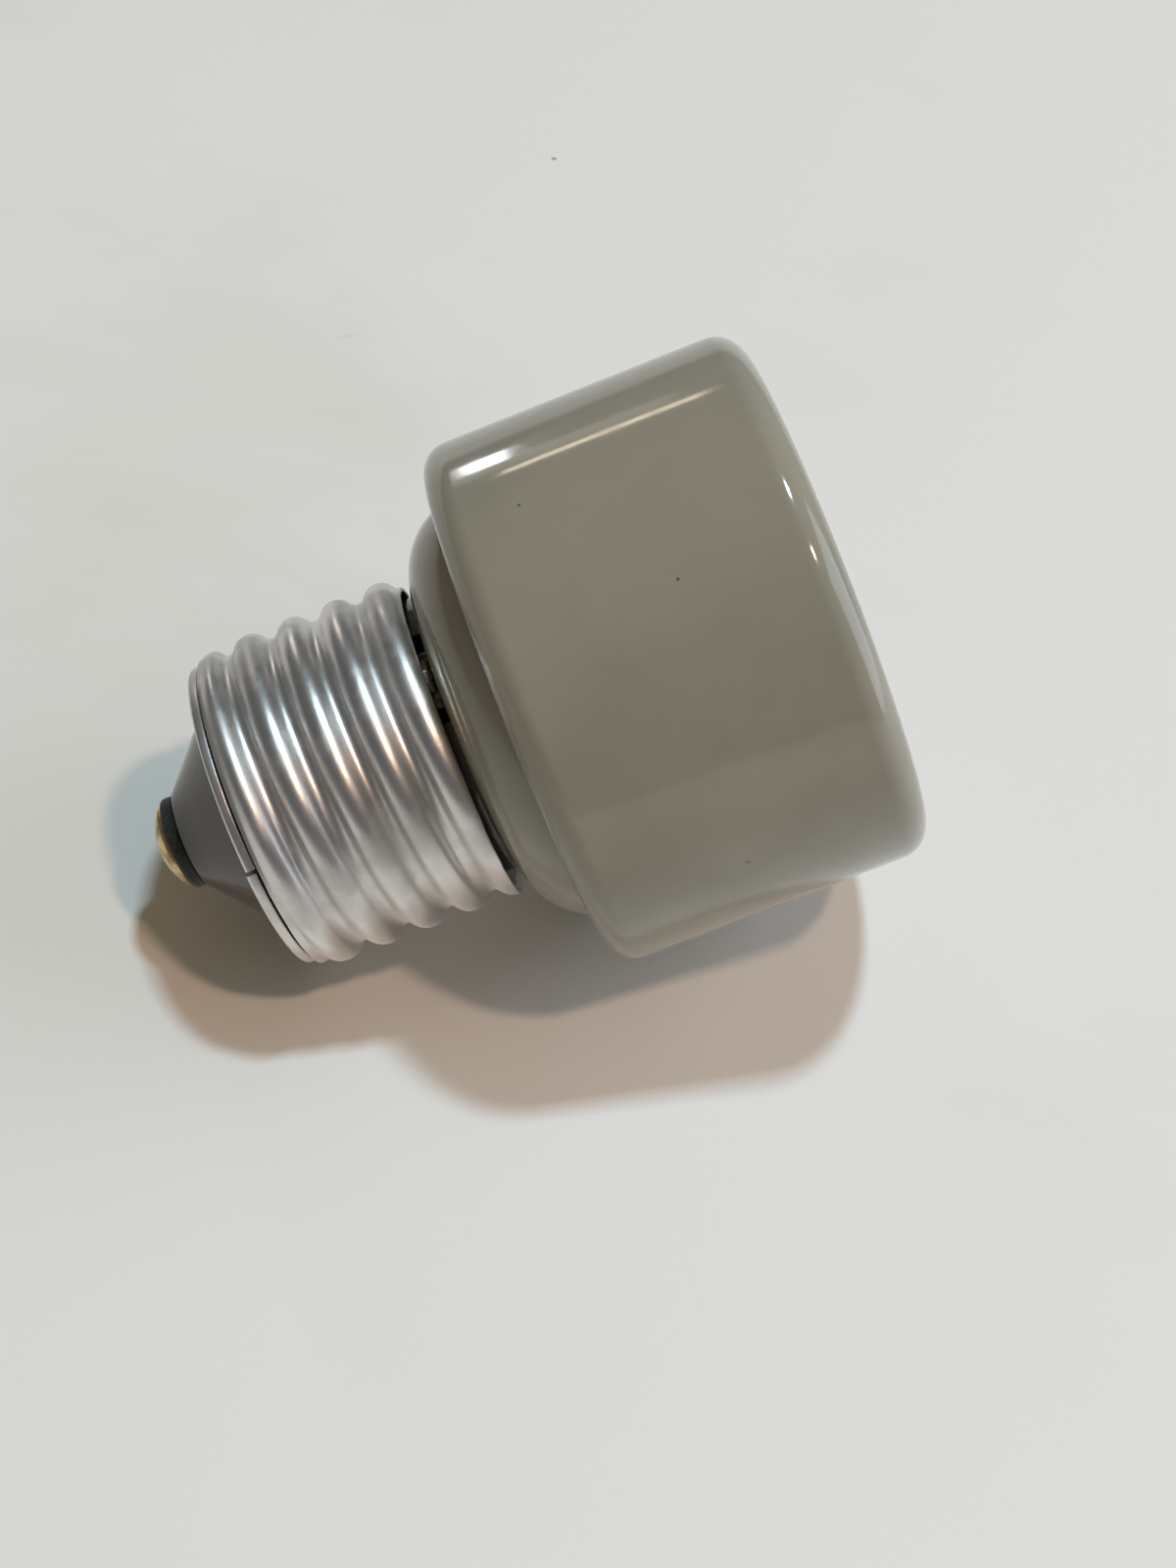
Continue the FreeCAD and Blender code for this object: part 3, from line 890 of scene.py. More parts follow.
# ------------------------------------------------------------ sub-assemblies
@dataclass
class PorcelainBody:
    """The fired piece: drum, domed collar, core, shoulder and tip cone."""

    drum_radius: float = 21.6
    drum_length: float = 26.4
    front_round: float = 2.5
    back_round: float = 2.4
    collar_radius: float = 17.1
    collar_top: float = 30.7
    collar_round: float = 6.6
    root_out: float = 0.30
    root_in: float = 0.05
    root_rise: float = 0.28
    root_bend: float = 0.32
    neck_bend: float = 0.10
    neck_drop: float = 0.02
    core_radius: float = 11.45
    shoulder: float = 49.05
    shoulder_round: float = 0.5
    cone_radius: float = 9.7
    cone_top: float = 54.3
    cone_bend: float = 0.6
    cone_root_out: float = 0.25
    cone_root_in: float = 0.2
    cone_edge: float = 0.30
    tip_radius: float = 3.95
    mouth_radius: float = 15.2
    mouth_round: float = 1.4
    mouth_depth: float = 4.2
    step_length: float = 1.3
    step_edge: float = 0.1
    bore_radius: float = 14.1
    floor: float = 27.0
    floor_round: float = 0.4
    rod_bore: float = 1.75
    pocket_width: float = 7.8
    pocket_height: float = 5.3
    pocket_floor: float = 6.25
    screw_circle: float = 8.8
    screw_hole: float = 1.45
    screw_angle: float = -71.5

    def outline(self) -> Outline:
        """Draws the section, from the socket bore round the mouth and up to the rod bore.

        Returns:
            The closed section.
        """
        drum, end, lip = self.drum_radius, self.drum_length, self.mouth_round
        collar, core, top = self.collar_radius, self.core_radius, self.collar_top
        line = Outline(self.mouth_radius, self.mouth_depth)
        line.to(self.mouth_radius, lip, 2).arc(self.mouth_radius + lip, 0.0, lip, 10)
        line.to(drum - self.front_round, 0.0, 2).arc(drum, self.front_round, self.front_round, 16)
        line.to(drum, end - self.back_round, 3).arc(drum - self.back_round, end, self.back_round, 16)
        line.to(collar + self.root_out, end, 2)
        line.arc(collar - self.root_in, end + self.root_rise, -self.root_bend, 6)
        line.arc(core + self.neck_bend, top - self.neck_drop, self.collar_round, 28)
        line.arc(core, top + self.neck_bend, -self.neck_bend, 4)
        line.to(core, self.shoulder - self.shoulder_round, 3)
        line.arc(core - self.shoulder_round, self.shoulder, self.shoulder_round, 6)
        line.to(self.cone_radius + self.cone_root_out, self.shoulder, 2)
        line.arc(self.cone_radius - self.cone_root_in, self.shoulder + self.cone_root_in, -self.cone_bend, 4)
        line.to(self.tip_radius + self.cone_edge, self.cone_top - self.cone_edge, 3)
        line.arc(self.tip_radius - self.cone_edge, self.cone_top, self.cone_bend, 6)
        line.to(self.rod_bore, self.cone_top, 2).to(self.rod_bore, self.floor, 2)
        line.to(self.bore_radius - self.floor_round, self.floor, 2)
        line.arc(self.bore_radius, self.floor - self.floor_round, -self.floor_round, 4)
        line.to(self.bore_radius, self.mouth_depth + self.step_length, 2)
        line.to(self.mouth_radius - self.step_edge, self.mouth_depth + self.step_edge)
        return line.close()

    def cutters(self) -> list[bmesh.types.BMesh]:
        """Makes what is cut out for the strap, the nut and the two screws.

        Returns:
            The cutters.
        """
        made = []
        half, top = self.pocket_width / 2.0, self.collar_top + self.pocket_height
        for angle in opposite(self.screw_angle):
            pocket = block((self.pocket_floor, -half, self.collar_top), (self.drum_radius, half, top))
            hole = rod(self.screw_hole, self.floor - CUT_FAR, self.collar_top + CUT_FAR, self.screw_circle)
            made += [turned_by(pocket, angle), turned_by(hole, angle)]
        return made

    def build(self) -> None:
        """Makes the body."""
        shape = carve(self.outline().lathe(steps=192), self.cutters())
        place_piece(shape, "glazed_body", PORCELAIN, ["porcelain_body"], crease=50.0)


@dataclass
class RolledThread:
    """A right-hand rolled thread of crest and root arcs, as a sheet without thickness."""

    crest: float
    start: float
    end: float
    crest_at: float
    fade_start: float = 0.0
    fade_end: float = 0.0
    pitch: float = 3.629
    depth: float = 1.0
    steps: int = 96
    arc_steps: int = 5

    def sheet(self) -> bmesh.types.BMesh:
        """Rolls the sheet: one pitch of arcs, spun up the axis and cut square at both ends.

        Returns:
            The open sheet, with its faces outwards.
        """
        quarter = self.pitch / 4.0
        arc = ((self.pitch / 2.0) ** 2 + self.depth ** 2) / (4.0 * self.depth)
        root, flank = self.crest - self.depth, self.crest - self.depth / 2.0
        below = math.floor((self.start - self.crest_at) / self.pitch) - 1
        base = self.crest_at + below * self.pitch
        line = Outline(root, base - 2.0 * quarter)
        line.arc(flank, base - quarter, -arc, self.arc_steps)
        line.arc(flank, base + quarter, arc, 2 * self.arc_steps)
        line.arc(root, base + 2.0 * quarter, -arc, self.arc_steps)
        turns = math.ceil((self.end - base) / self.pitch) + 1
        shape = line.mesh
        bmesh.ops.spin(shape, geom=shape.verts[:] + shape.edges[:], cent=(0, 0, 0), axis=AXIS,
                       angle=math.tau * turns, steps=self.steps * turns, dvec=(0, 0, self.pitch / self.steps))
        weld(shape)
        for height, upper in ((self.start, False), (self.end, True)):
            geometry = shape.verts[:] + shape.edges[:] + shape.faces[:]
            bmesh.ops.bisect_plane(shape, geom=geometry, dist=PLANE_REACH, plane_co=(0, 0, height),
                                   plane_no=AXIS, clear_inner=not upper, clear_outer=upper)
        self.fade(shape)
        bmesh.ops.recalc_face_normals(shape, faces=shape.faces[:])
        return shape

    def fade(self, shape: bmesh.types.BMesh) -> None:
        """Lets the thread run out to a plain round wall near its ends.

        Args:
            shape: The rolled sheet.
        """
        middle = self.crest - self.depth / 2.0
        for vert in shape.verts:
            share = 1.0
            if self.fade_start > 0.0:
                share *= ease((vert.co.z - self.start) / self.fade_start)
            if self.fade_end > 0.0:
                share *= ease((self.end - vert.co.z) / self.fade_end)
            radius = math.hypot(vert.co.x, vert.co.y)
            factor = (middle + (radius - middle) * share) / radius
            vert.co.x *= factor
            vert.co.y *= factor


@dataclass
class ScrewBase:
    """The rolled base shell and the split ring at its tip end."""

    crest: float = 13.1
    start: float = 31.4
    end: float = 48.0
    crest_at: float = 33.32
    run_out: float = 1.3
    wall: float = 0.3
    edge: float = 0.06
    ring_start: float = 48.15
    ring_inner: float = 11.5
    ring_width: float = 1.0
    ring_height: float = 0.9
    ring_round: float = 0.28
    ring_gap: float = 1.6
    ring_lift: float = 0.10
    ring_angle: float = -115.6
    ring_steps: int = 120

    def build(self) -> None:
        """Makes the shell and the ring."""
        thread = RolledThread(self.crest, self.start, self.end, self.crest_at, fade_end=self.run_out)
        shell = break_edges(thicken(thread.sheet(), self.wall), self.edge)
        place_piece(shell, "rolled_base_shell", BASE_ALUMINIUM, ["base_screw_shell"], crease=45.0)
        place_piece(self.ring(), "split_end_ring", BASE_ALUMINIUM, ["base_end_ring"], crease=45.0)

    def ring(self) -> bmesh.types.BMesh:
        """Bends the ring from a rounded bar, with one end a little proud of the other.

        Returns:
            The ring.
        """
        low, high, bend = self.ring_start, self.ring_start + self.ring_height, self.ring_round
        inner, outer = self.ring_inner, self.ring_inner + self.ring_width
        line = Outline(inner, low).to(outer - bend, low, 2).arc(outer, low + bend, bend, 6)
        line.to(outer, high - bend, 2).arc(outer - bend, high, bend, 6).to(inner, high, 2).close()
        shape = line.mesh
        face = bmesh.ops.contextual_create(shape, geom=shape.edges[:])["faces"]
        turn = math.radians(360.0 - self.ring_gap)
        bmesh.ops.spin(shape, geom=face, cent=(0, 0, 0), axis=AXIS, angle=turn, steps=self.ring_steps,
                       dvec=(0, 0, self.ring_lift / self.ring_steps))
        moved_by(shape, 0, 0, -self.ring_lift / 2.0)
        return turned_by(weld(shape), self.ring_angle + self.ring_gap / 2.0)


@dataclass
class TipContact:
    """The base's centre contact: fibre washer and brass rod with its domed head."""

    seat: float = 54.3
    washer_radius: float = 3.8
    washer_height: float = 1.1
    washer_play: float = 0.05
    foot_round: float = 0.18
    waist: float = 0.04
    waist_at: float = 0.45
    belly_at: float = 0.6
    draw_in: float = 0.03
    top_round: float = 0.25
    head_radius: float = 3.35
    head_edge: float = 0.3
    head_rise: float = 1.2
    head_foot: float = 0.08
    brim_round: float = 0.10
    brim_rise: float = 0.09
    rod_radius: float = 1.6
    rod_foot: float = 25.3
    clench_radius: float = 2.3
    clench_height: float = 0.6
    clench_bend: float = 5.0
    clench_edge: float = 0.1
    clench_side: float = 0.3
    clench_round: float = 0.2

    def build(self) -> None:
        """Makes the washer and the rod."""
        top, radius = self.seat + self.washer_height, self.washer_radius
        hole = self.rod_radius + self.washer_play
        washer = Outline(hole, self.seat).to(radius - self.foot_round, self.seat, 3)
        washer.arc(radius, self.seat + self.foot_round, self.foot_round, 4)
        washer.to(radius - self.waist, self.seat + self.waist_at).to(radius, self.seat + self.belly_at)
        washer.to(radius - self.draw_in, top - self.top_round)
        washer.arc(radius - self.draw_in - self.top_round, top, self.top_round, 4).to(hole, top, 3).close()
        place_piece(washer.lathe(), "fibre_washer", BLACK_FIBRE, ["tip_washer"])
        place_piece(self.rod_outline(top).lathe(), "domed_contact_rod", CONTACT_BRASS, ["tip_contact_rod"])

    def rod_outline(self, top: float) -> Outline:
        """Draws the rod from its clenched end to the crown of its head.

        Args:
            top: Height of the washer's face, which the head sits on.

        Returns:
            The section's line.
        """
        brim, foot, head = top + self.head_edge, self.rod_foot, self.head_radius
        clench = self.clench_radius - self.clench_edge
        line = Outline(0.0, foot - self.clench_height)
        line.arc(clench, foot - self.clench_side, self.clench_bend, 10)
        line.arc(clench, foot, self.clench_round, 6).to(self.rod_radius, foot)
        line.to(self.rod_radius, top, 6).to(head - self.head_foot, top, 2)
        line.arc(head, top + self.head_foot, self.head_foot, 3).to(head, brim)
        line.arc(head - self.brim_round, brim + self.brim_rise, self.brim_round, 4)
        return line.arc(0.0, brim + self.head_rise, cap_bend(head, self.head_rise), 24)


@dataclass
class CentreContact:
    """What presses on the lamp's contact: fibre disc, folded leaf, rod washer and button."""

    disc_radius: float = 6.0
    disc_low: float = 26.2
    disc_high: float = 27.0
    rod_hole: float = 1.65
    rim_round: float = 0.1
    leaf: float = 0.4
    leaf_width: float = 5.0
    leaf_tail: float = 3.2
    leaf_reach: float = 5.0
    leaf_edge: float = 0.08
    bend: float = 0.9
    slope: float = 32.0
    arm_low: float = 21.9
    knee: float = 1.5
    leaf_tip: float = 2.3
    leaf_angle: float = 18.5
    washer_radius: float = 3.0
    washer_low: float = 25.3
    button_radius: float = 2.1
    button_height: float = 1.0
    button_edge: float = 0.3
    lip_in: float = 0.06
    lip_drop: float = 0.05
    lip_rise: float = 0.03
    lip_bend: float = 0.08
    shank_radius: float = 0.8
    shank_play: float = 0.05
    clench_radius: float = 1.2
    clench_height: float = 0.5
    clench_taper: float = 0.35
    clench_bend: float = 0.5
    squash_keep: float = 0.65

    def build(self) -> None:
        """Makes the four pieces."""
        hole, edge, foot = self.rod_hole, self.rim_round, self.disc_low - self.leaf
        disc = flat_washer(hole, self.disc_radius, self.disc_low, self.disc_high, edge, 4)
        place_piece(disc.lathe(), "fibre_disc", GREY_FIBRE, ["contact_insulator"])
        washer = flat_washer(hole, self.washer_radius, self.washer_low, foot, edge, 3)
        place_piece(washer.lathe(steps=72), "clench_washer", CONTACT_BRASS, ["rod_washer"])
        leaf = place_piece(self.leaf_shape(), "folded_leaf", LEAF_BRONZE, ["contact_leaf"])
        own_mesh(leaf)
        place_piece(self.button(), "contact_button_face", CONTACT_BRASS, ["contact_button"],
                    Body.CENTRE_CONTACT)

    def leaf_line(self) -> Outline:
        """Draws the leaf's middle line, from the end of its foot to its free end.

        Returns:
            The line.
        """
        foot, slope = self.disc_low - self.leaf / 2.0, math.radians(self.slope)
        out = Vector((self.leaf_reach, 0.0, foot - self.bend))
        away = Vector((math.sin(slope), 0.0, -math.cos(slope)))
        leave = out + away * self.bend
        arm = self.arm_low + self.leaf / 2.0
        low = arm + self.knee * (1.0 - math.cos(slope))
        run = (leave.z - low) / math.sin(slope)
        arrive = leave - Vector((math.cos(slope), 0.0, math.sin(slope))) * run
        flat = arrive.x - self.knee * math.sin(slope)
        line = Outline(-self.leaf_tail, foot).to(self.leaf_reach, foot, 6)
        line.arc(self.leaf_reach + self.bend, out.z, -self.bend, 8).arc(leave.x, leave.z, -self.bend, 6)
        line.to(arrive.x, arrive.z, 6).arc(flat, arm, -self.knee, 6)
        return line.to(-self.leaf_tip, arm, 4)

    def leaf_shape(self) -> bmesh.types.BMesh:
        """Makes the leaf: the line drawn out to a strip, given its wall, holed and rounded.

        Returns:
            The leaf.
        """
        shape = moved_by(self.leaf_line().mesh, 0, -self.leaf_width / 2.0, 0)
        made = bmesh.ops.extrude_edge_only(shape, edges=shape.edges[:])["geom"]
        bmesh.ops.translate(shape, vec=(0, self.leaf_width, 0), verts=parts_of(made, bmesh.types.BMVert))
        thicken(weld(shape), self.leaf)
        moved_by(shape, 0, 0, self.arm_low - min(vert.co.z for vert in shape.verts))
        break_edges(shape, self.leaf_edge)
        shank_hole = self.shank_radius + self.shank_play
        holes = [rod(self.rod_hole, self.disc_low - CUT_FAR, self.disc_low + CUT_NEAR),
                 rod(shank_hole, self.arm_low - CUT_NEAR, self.arm_low + CUT_FAR, sides=28)]
        return turned_by(carve(shape, holes), self.leaf_angle)

    def button(self) -> bmesh.types.BMesh:
        """Turns the button, its shank and its clenched back.

        Returns:
            The button.
        """
        radius, rise = self.button_radius, self.button_height - self.button_edge
        brim, back = self.arm_low - self.button_edge, self.arm_low + self.leaf
        top = back + self.clench_height
        line = Outline(0.0, brim - rise)
        line.arc(radius - self.lip_in, brim - self.lip_drop, cap_bend(radius, rise), 16)
        line.arc(radius, brim + self.lip_rise, self.lip_bend, 3).to(radius, self.arm_low)
        line.to(self.shank_radius, self.arm_low).to(self.shank_radius, back).to(self.clench_radius, back)
        line.arc(self.clench_radius - self.clench_taper, top, self.clench_bend, 6).to(0.0, top, 2)
        return line.lathe(steps=72)


@dataclass
class SocketShell:
    """The new socket's rolled shell with its floor, and the screws, nut and strap that carry it."""

    crest: float = 13.65
    start: float = 5.0
    wall: float = 0.35
    run_out: float = 1.3
    edge: float = 0.06
    floor: float = 27.0
    floor_hole: float = 6.3
    floor_reach: float = 2.0
    wall_end: float = 0.5
    fold_out: float = 0.6
    fold_in: float = 0.95
    fold_drop: float = 0.15
    crest_at: float = 7.6
    screw_circle: float = 8.8
    screw_radius: float = 1.25
    screw_play: float = 0.2
    screw_angle: float = -71.5
    screw_past: tuple[float, float] = (1.0, 0.5)
    head_radius: float = 2.3
    head_height: float = 1.5
    head_round: float = 0.5
    head_crown: float = 0.04
    head_rim: float = 0.08
    slot_width: float = 0.6
    slot_depth: float = 0.7
    thread_pitch: float = 0.5
    thread_depth: float = 0.25
    thread_steps: int = 32
    thread_start: float = 0.4
    thread_end: float = 0.3
    shank_sink: float = 0.1
    shank_draw: float = 0.98
    point: float = 0.001
    rim_reach: float = 0.05
    tapped_play: float = 0.02
    pocket_low: float = 30.7
    nut_width: float = 5.0
    nut_height: float = 2.0
    nut_round: float = 0.2
    strap_face: float = 11.4
    foot_length: float = 4.4
    foot_width: float = 5.0
    foot_height: float = 0.8
    foot_corner: float = 0.6
    tongue_width: float = 2.7
    tongue_wall: float = 0.5
    tongue_height: float = 4.4
    tongue_chamfer: float = 0.1
    tongue_edge: float = 0.05
    bead_radius: float = 0.6
    bead_rise: float = 0.28
    bead_lift: float = 0.65

    def build(self) -> None:
        """Makes the shell and what holds it."""
        place_piece(self.shell(), "rolled_socket_shell", SOCKET_ALUMINIUM, ["socket_screw_shell"],
                    crease=45.0)
        turns = opposite(self.screw_angle)
        seats = (self.foot_height, self.nut_height)
        tips = [self.pocket_low + seat + past for seat, past in zip(seats, self.screw_past)]
        screws = [turned_by(self.screw(tip), turn) for tip, turn in zip(tips, turns)]
        place_piece(join(screws), "slotted_screws", SCREW_STEEL, ["shell_screws"])
        place_piece(turned_by(self.nut(), turns[1]), "square_nut", SCREW_STEEL, ["shell_nut"])
        place_piece(turned_by(self.strap(), turns[0]), "pole_strap", STRAP_BRASS, ["connecting_strap"])
        place_piece(turned_by(self.bead(), turns[0]), "solder_bead", SOLDER, ["strap_solder"])

    def shell(self) -> bmesh.types.BMesh:
        """Rolls the wall, folds its floor in and drills the screw holes.

        Returns:
            The shell.
        """
        inner_floor = self.floor - self.wall / 2.0
        middle = self.crest - self.wall / 2.0
        thread = RolledThread(middle, self.start, inner_floor - self.wall_end, self.crest_at,
                              self.run_out, self.run_out)
        shape = thread.sheet()
        top = [edge for edge in shape.edges
               if edge.is_boundary and edge.verts[0].co.z > self.floor - self.floor_reach]
        top = draw_rim(shape, top, middle - self.fold_out, inner_floor - self.fold_drop)
        top = draw_rim(shape, top, middle - self.fold_in, inner_floor)
        draw_rim(shape, top, self.floor_hole, inner_floor)
        bmesh.ops.recalc_face_normals(shape, faces=shape.faces[:])
        thicken(shape, self.wall)
        moved_by(shape, 0, 0, self.floor - max(vert.co.z for vert in shape.verts))
        break_edges(shape, self.edge)
        hole, low, high = self.screw_radius + self.screw_play, self.floor - CUT_FAR, self.floor + CUT_FAR
        return carve(shape, [turned_by(rod(hole, low, high, self.screw_circle), turn)
                             for turn in opposite(self.screw_angle)])

    def screw(self, tip: float) -> bmesh.types.BMesh:
        """Turns a pan-head screw, cuts its slot and rolls its thread.

        Args:
            tip: Height of its end.

        Returns:
            The screw.
        """
        seat, radius, bend, rim = self.floor - self.wall, self.head_radius, self.head_round, self.head_rim
        base = seat - self.head_height
        line = Outline(0.0, base).to(radius - bend, base + self.head_crown, 3)
        line.arc(radius, base + bend, bend, 8).to(radius, seat - rim)
        line.arc(radius - rim, seat, rim, 3).to(0.0, seat, 2)
        reach, half = radius + CUT_FAR, self.slot_width / 2.0
        slot = block((-reach, -half, base - CUT_FAR), (reach, half, base + self.slot_depth))
        head = carve(line.lathe(steps=56), [slot])
        return moved_by(join([head, self.shank(seat, tip)]), self.screw_circle, 0, 0)

    def shank(self, low: float, tip: float) -> bmesh.types.BMesh:
        """Rolls a machine-screw thread between two plain ends.

        Args:
            low: Height of the head's seat.
            tip: Height of the screw's end.

        Returns:
            The shank.
        """
        start, end = low + self.thread_start, tip - self.thread_end
        thread = RolledThread(self.screw_radius, start, end, start, self.thread_start, self.thread_end,
                              self.thread_pitch, self.thread_depth, self.thread_steps)
        shape = thread.sheet()
        plain = (self.screw_radius - self.thread_depth / 2.0) * self.shank_draw
        for height, out in ((start, low - self.shank_sink), (end, tip)):
            rim = [edge for edge in shape.edges
                   if edge.is_boundary and abs(edge.verts[0].co.z - height) < self.rim_reach]
            draw_rim(shape, draw_rim(shape, rim, plain, out), self.point, out)
        return weld(shape)

    def tapped(self, shape: bmesh.types.BMesh, height: float) -> bmesh.types.BMesh:
        """Bores a piece for its screw, up to a height over the pocket's floor."""
        low, radius = self.pocket_low, self.screw_radius + self.tapped_play
        return carve(shape, [rod(radius, low - CUT_FAR, low + height, self.screw_circle)])

    def nut(self) -> bmesh.types.BMesh:
        """Cuts the square nut.

        Returns:
            The nut.
        """
        half, low, away = self.nut_width / 2.0, self.pocket_low, self.screw_circle
        shape = block((away - half, -half, low), (away + half, half, low + self.nut_height))
        return self.tapped(break_edges(shape, self.nut_round, 3), self.nut_height + CUT_FAR)

    def strap(self) -> bmesh.types.BMesh:
        """Bends the strap: a foot for its screw and a tongue up the core.

        Returns:
            The strap.
        """
        face, wall, low, half = self.strap_face, self.tongue_wall, self.pocket_low, self.foot_width / 2.0
        foot = block((face - self.foot_length, -half, low), (face - wall, half, low + self.foot_height))
        corners = [edge for edge in foot.edges if edge.verts[0].co.z != edge.verts[1].co.z]
        break_edges(round_off(foot, corners, self.foot_corner, 4), self.edge)
        foot = self.tapped(foot, 2.0 * CUT_FAR)
        top, chamfer = low + self.tongue_height, self.tongue_chamfer
        line = Outline(face, low + wall).to(face, top - chamfer, 4).to(face - chamfer, top)
        line.to(face - wall, top).to(face - wall, low, 4)
        tongue = line.arc(face, low + wall, wall, 6).mesh
        bmesh.ops.remove_doubles(tongue, verts=tongue.verts[:], dist=WELD)
        side = bmesh.ops.contextual_create(tongue, geom=tongue.edges[:])["faces"]
        made = bmesh.ops.extrude_face_region(tongue, geom=side)["geom"]
        bmesh.ops.translate(tongue, vec=(0, self.tongue_width, 0), verts=parts_of(made, bmesh.types.BMVert))
        moved_by(tongue, 0, -self.tongue_width / 2.0, 0)
        return join([foot, break_edges(weld(tongue), self.tongue_edge)])

    def bead(self) -> bmesh.types.BMesh:
        """Sets a low solder bead on the tongue.

        Returns:
            The bead.
        """
        line = Outline(0.0, 0.0).to(self.bead_radius, 0.0, 3)
        line.arc(0.0, self.bead_rise, cap_bend(self.bead_radius, self.bead_rise), 10)
        shape = turned_by(line.lathe(steps=40), 90.0, "Y")
        return moved_by(shape, self.strap_face, 0.0, self.pocket_low + self.bead_lift)


# --------------------------------------------------------------------- stage
@dataclass
class Table:
    """Pale table that the holder lies on, touching with its drum's back edge and its end ring."""

    bearing: float = -57.0
    tilt: float = 20.3
    touch: float = 0.02876
    size: float = 6.0
    top: Colour = (0.80, 0.79, 0.775)
    stain: Colour = (0.66, 0.62, 0.57)
    mark: Colour = (0.22, 0.20, 0.19)
    smear: Cloud = Cloud(9.0, 5.0, 0.50, 0.78, (1.0, 2.5, 1.0))
    smear_share: float = 0.50
    drift: Cloud = Cloud(3.0, 2.0, 0.35, 0.70)
    drift_share: float = 0.12
    scratch: Cloud = Cloud(24.0, 2.0, 0.76, 0.80, (9.0, 1.0, 3.0))
    scratch_share: float = 0.35
    crumbs: Specks = Specks(60.0, 0.022, 0.22)
    crumb_share: float = 0.7
    roughness: float = 0.55

    def point(self, across: float, above: float, along: float) -> Vector:
        """Point in metres from the table's own directions.

        Args:
            across: Across the table, towards the camera.
            above: Up from the holder's origin.
            along: Along the table, towards the holder's contact.

        Returns:
            The point.
        """
        turn, tilt = math.radians(self.bearing), math.radians(self.tilt)
        level = math.cos(tilt)
        up = Vector((math.cos(turn) * level, math.sin(turn) * level, -math.sin(tilt)))
        side = up.cross(AXIS).normalized()
        return side * across + up * above + side.cross(up) * along

    def build(self) -> None:
        """Makes the table top."""
        shape = bmesh.new()
        bmesh.ops.create_grid(shape, x_segments=2, y_segments=2, size=self.size / 2.0)
        turn = self.point(0, 1, 0).to_track_quat("Z", "Y").to_matrix()
        bmesh.ops.rotate(shape, cent=(0, 0, 0), matrix=turn, verts=shape.verts[:])
        top = make_object(moved_by(shape, *self.point(0, -self.touch, 0)), "table_top")
        top.data.materials.append(self.paint())

    def paint(self) -> bpy.types.Material:
        """Paints the table top, which is seen from above only and blocks no lamp.

        Returns:
            The material.
        """
        paint = Paint(bpy.data.materials.new("table_top"))
        stained = paint.cloud(self.smear) * self.smear_share + paint.cloud(self.drift) * self.drift_share
        marked = paint.specks(self.crumbs) * self.crumb_share + paint.cloud(self.scratch) * self.scratch_share
        colour = paint.mix(paint.mix(self.top, self.stain, stained), self.mark, marked)
        sockets = {"Base Color": colour, "Roughness": self.roughness}
        board = paint.node("ShaderNodeBsdfPrincipled", {}, sockets)
        clear = paint.node("ShaderNodeBsdfTransparent", {}, {})
        behind = paint.node("ShaderNodeNewGeometry", {}, {}, "Backfacing")
        shade = paint.node("ShaderNodeLightPath", {}, {}, "Is Shadow Ray")
        shown = paint.blend(behind.larger(shade), board, clear)
        paint.node("ShaderNodeOutputMaterial", {}, {"Surface": shown})
        return paint.owner


@dataclass(frozen=True)
class Lamp:
    """One soft lamp: place and aim in the table's directions, size in metres, and power in watts."""

    name: str
    place: Triple
    size: tuple[float, float]
    power: float
    colour: Colour
    aim: Triple = (0.0, 0.0, 0.025)

    def build(self, table: Table) -> None:
        """Hangs the lamp.

        Args:
            table: The table that its place is measured from.
        """
        data = bpy.data.lights.new(self.name, "AREA")
        data.shape = "RECTANGLE"
        data.size, data.size_y = self.size
        data.energy = self.power
        data.color = self.colour
        lamp = bpy.data.objects.new(self.name, data)
        lamp.location = table.point(*self.place)
        toward = table.point(*self.aim) - lamp.location
        lamp.rotation_mode = "QUATERNION"
        lamp.rotation_quaternion = toward.to_track_quat("-Z", "Y")
        bpy.context.scene.collection.objects.link(lamp)
        LOG.info("lamp %s", self.name)


LAMPS = (
    Lamp("cool_ceiling_lamp", (-0.175, 1.46, -0.277), (0.12, 0.12), 10.9, (0.66, 0.88, 1.0)),
    Lamp("warm_ceiling_lamp", (0.493, 1.37, -0.356), (0.09, 0.09), 5.8, (1.0, 0.70, 0.50)),
    Lamp("side_window", (0.16, 0.34, -0.80), (0.85, 0.65), 4.4, (0.80, 0.87, 1.0)),
    Lamp("far_strip_lamp", (-0.639, 0.293, 0.112), (0.03, 0.10), 0.070, (1.0, 0.84, 0.62)),
    Lamp("far_glow", (-0.664, 0.220, 0.115), (0.07, 0.12), 0.020, (1.0, 0.92, 0.80)),
    Lamp("far_window", (-0.689, 0.142, 0.117), (0.10, 0.025), 0.120, (0.97, 0.98, 1.0)),
    Lamp("fill_behind", (-0.10, -1.20, 0.15), (0.80, 0.80), 3.5, (1.0, 0.98, 0.96)),
)


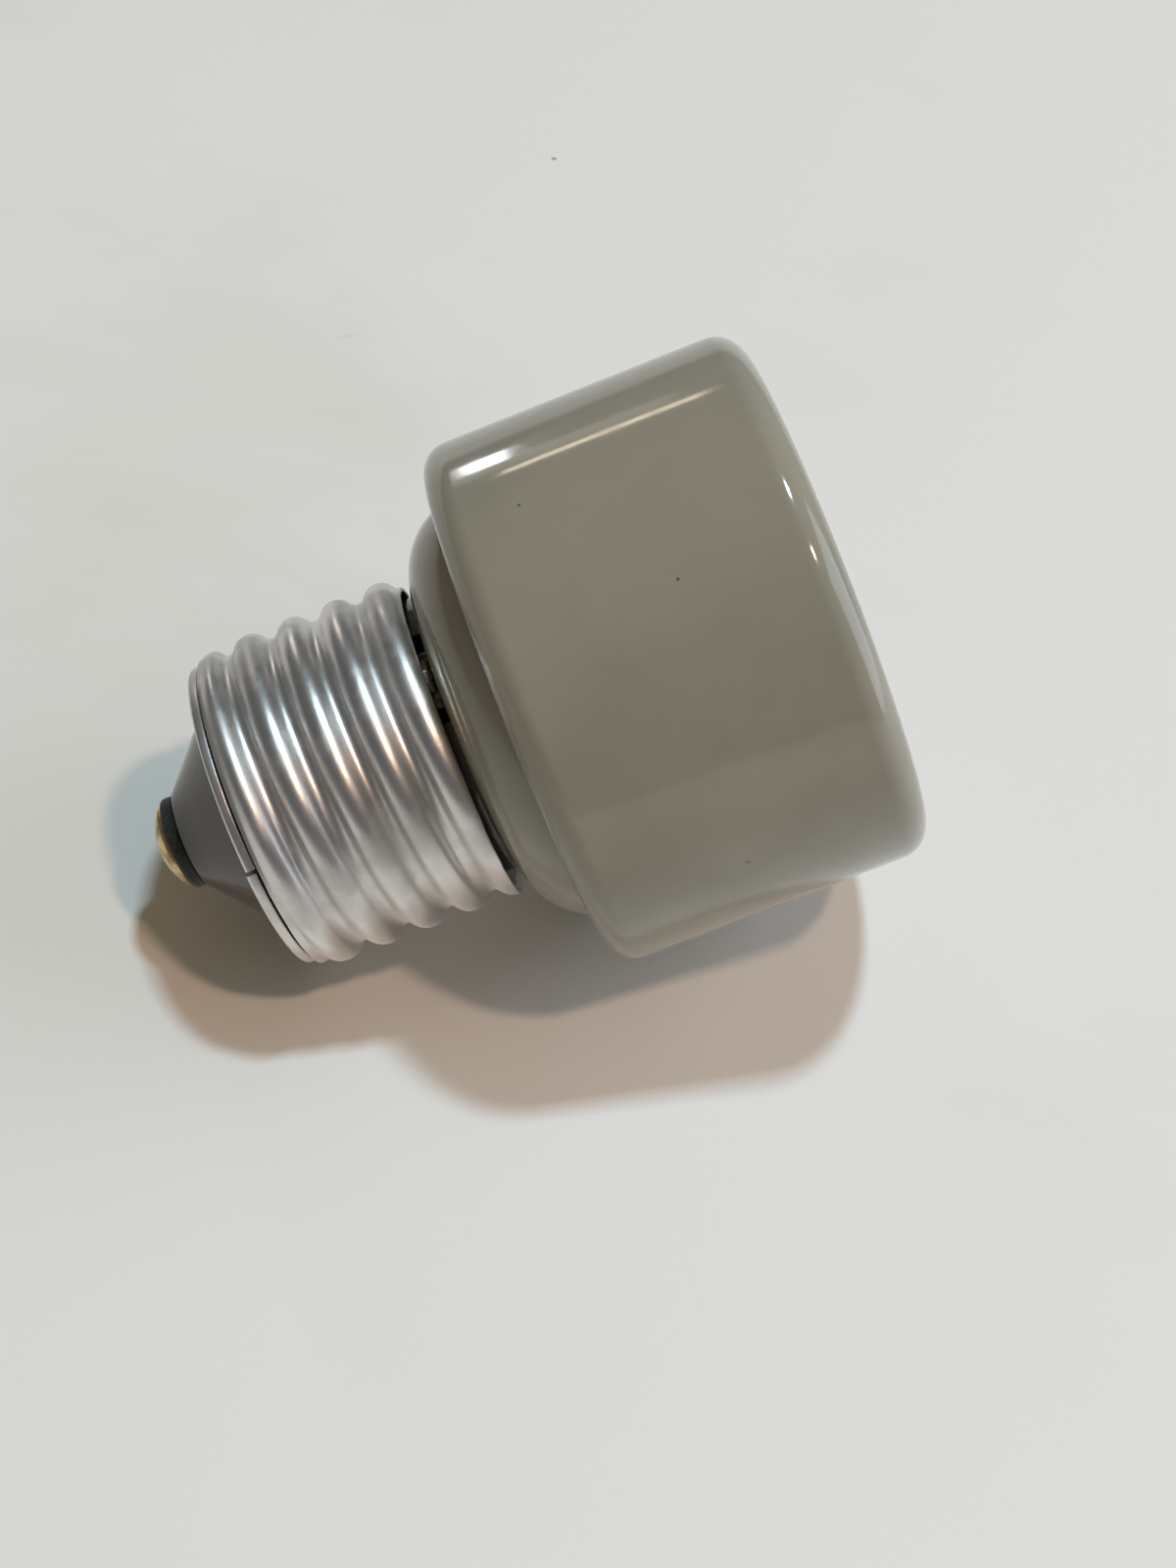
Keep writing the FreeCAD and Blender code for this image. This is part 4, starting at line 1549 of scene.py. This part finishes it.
@dataclass
class Room:
    """Even light of the room, its dim furniture in reflections, and its pale walls in view."""

    light: Colour = (0.180, 0.146, 0.096)
    furniture: Colour = (0.105, 0.105, 0.105)
    wall: Colour = (0.81, 0.805, 0.79)

    def build(self) -> None:
        """Sets the world and the view transform."""
        scene = bpy.context.scene
        scene.world = bpy.data.worlds.new("room")
        paint = Paint(scene.world)
        glossy = paint.node("ShaderNodeLightPath", {}, {}, "Is Glossy Ray")
        seen = paint.node("ShaderNodeLightPath", {}, {}, "Is Camera Ray")
        room = paint.blend(glossy, paint.light(self.light), paint.light(self.furniture))
        shown = paint.blend(seen, room, paint.light(self.wall))
        paint.node("ShaderNodeOutputWorld", {}, {"Surface": shown})
        scene.view_settings.view_transform = "Standard"


@dataclass
class Viewpoint:
    """Camera over the table, its lengths in metres, rolled so that the axis runs across its frame."""

    bearing: float = -97.0
    distance: float = 0.19252
    height: float = 0.01381
    aim_side: float = -0.00733
    aim_height: float = 0.02340
    roll: float = -111.27
    lens: float = 56.23
    film_width: float = 36.0
    near: float = 0.01

    def build(self) -> None:
        """Makes the camera."""
        turn = Matrix.Rotation(math.radians(self.bearing), 3, "Z")
        place = turn @ Vector((self.distance, 0.0, self.height))
        aim = turn @ Vector((0.0, self.aim_side, self.aim_height))
        back = (place - aim).normalized()
        right = (-back).cross(AXIS).normalized()
        upright = Matrix((right, back.cross(right), back)).transposed()
        data = bpy.data.cameras.new("camera")
        data.lens = self.lens
        data.sensor_width = self.film_width
        data.clip_start = self.near
        camera = bpy.data.objects.new("camera", data)
        turned = Matrix.Rotation(math.radians(self.roll), 3, back) @ upright
        camera.matrix_world = Matrix.Translation(place) @ turned.to_4x4()
        bpy.context.scene.collection.objects.link(camera)
        bpy.context.scene.camera = camera


def main() -> None:
    """Builds the holder, the table, the lamps and the camera."""
    logging.basicConfig(level=logging.INFO, format="%(message)s")
    for assembly in (PorcelainBody(), ScrewBase(), TipContact(), CentreContact(), SocketShell()):
        assembly.build()
    table = Table()
    table.build()
    for lamp in LAMPS:
        lamp.build(table)
    Room().build()
    Viewpoint().build()


if __name__ == "__main__":
    main()
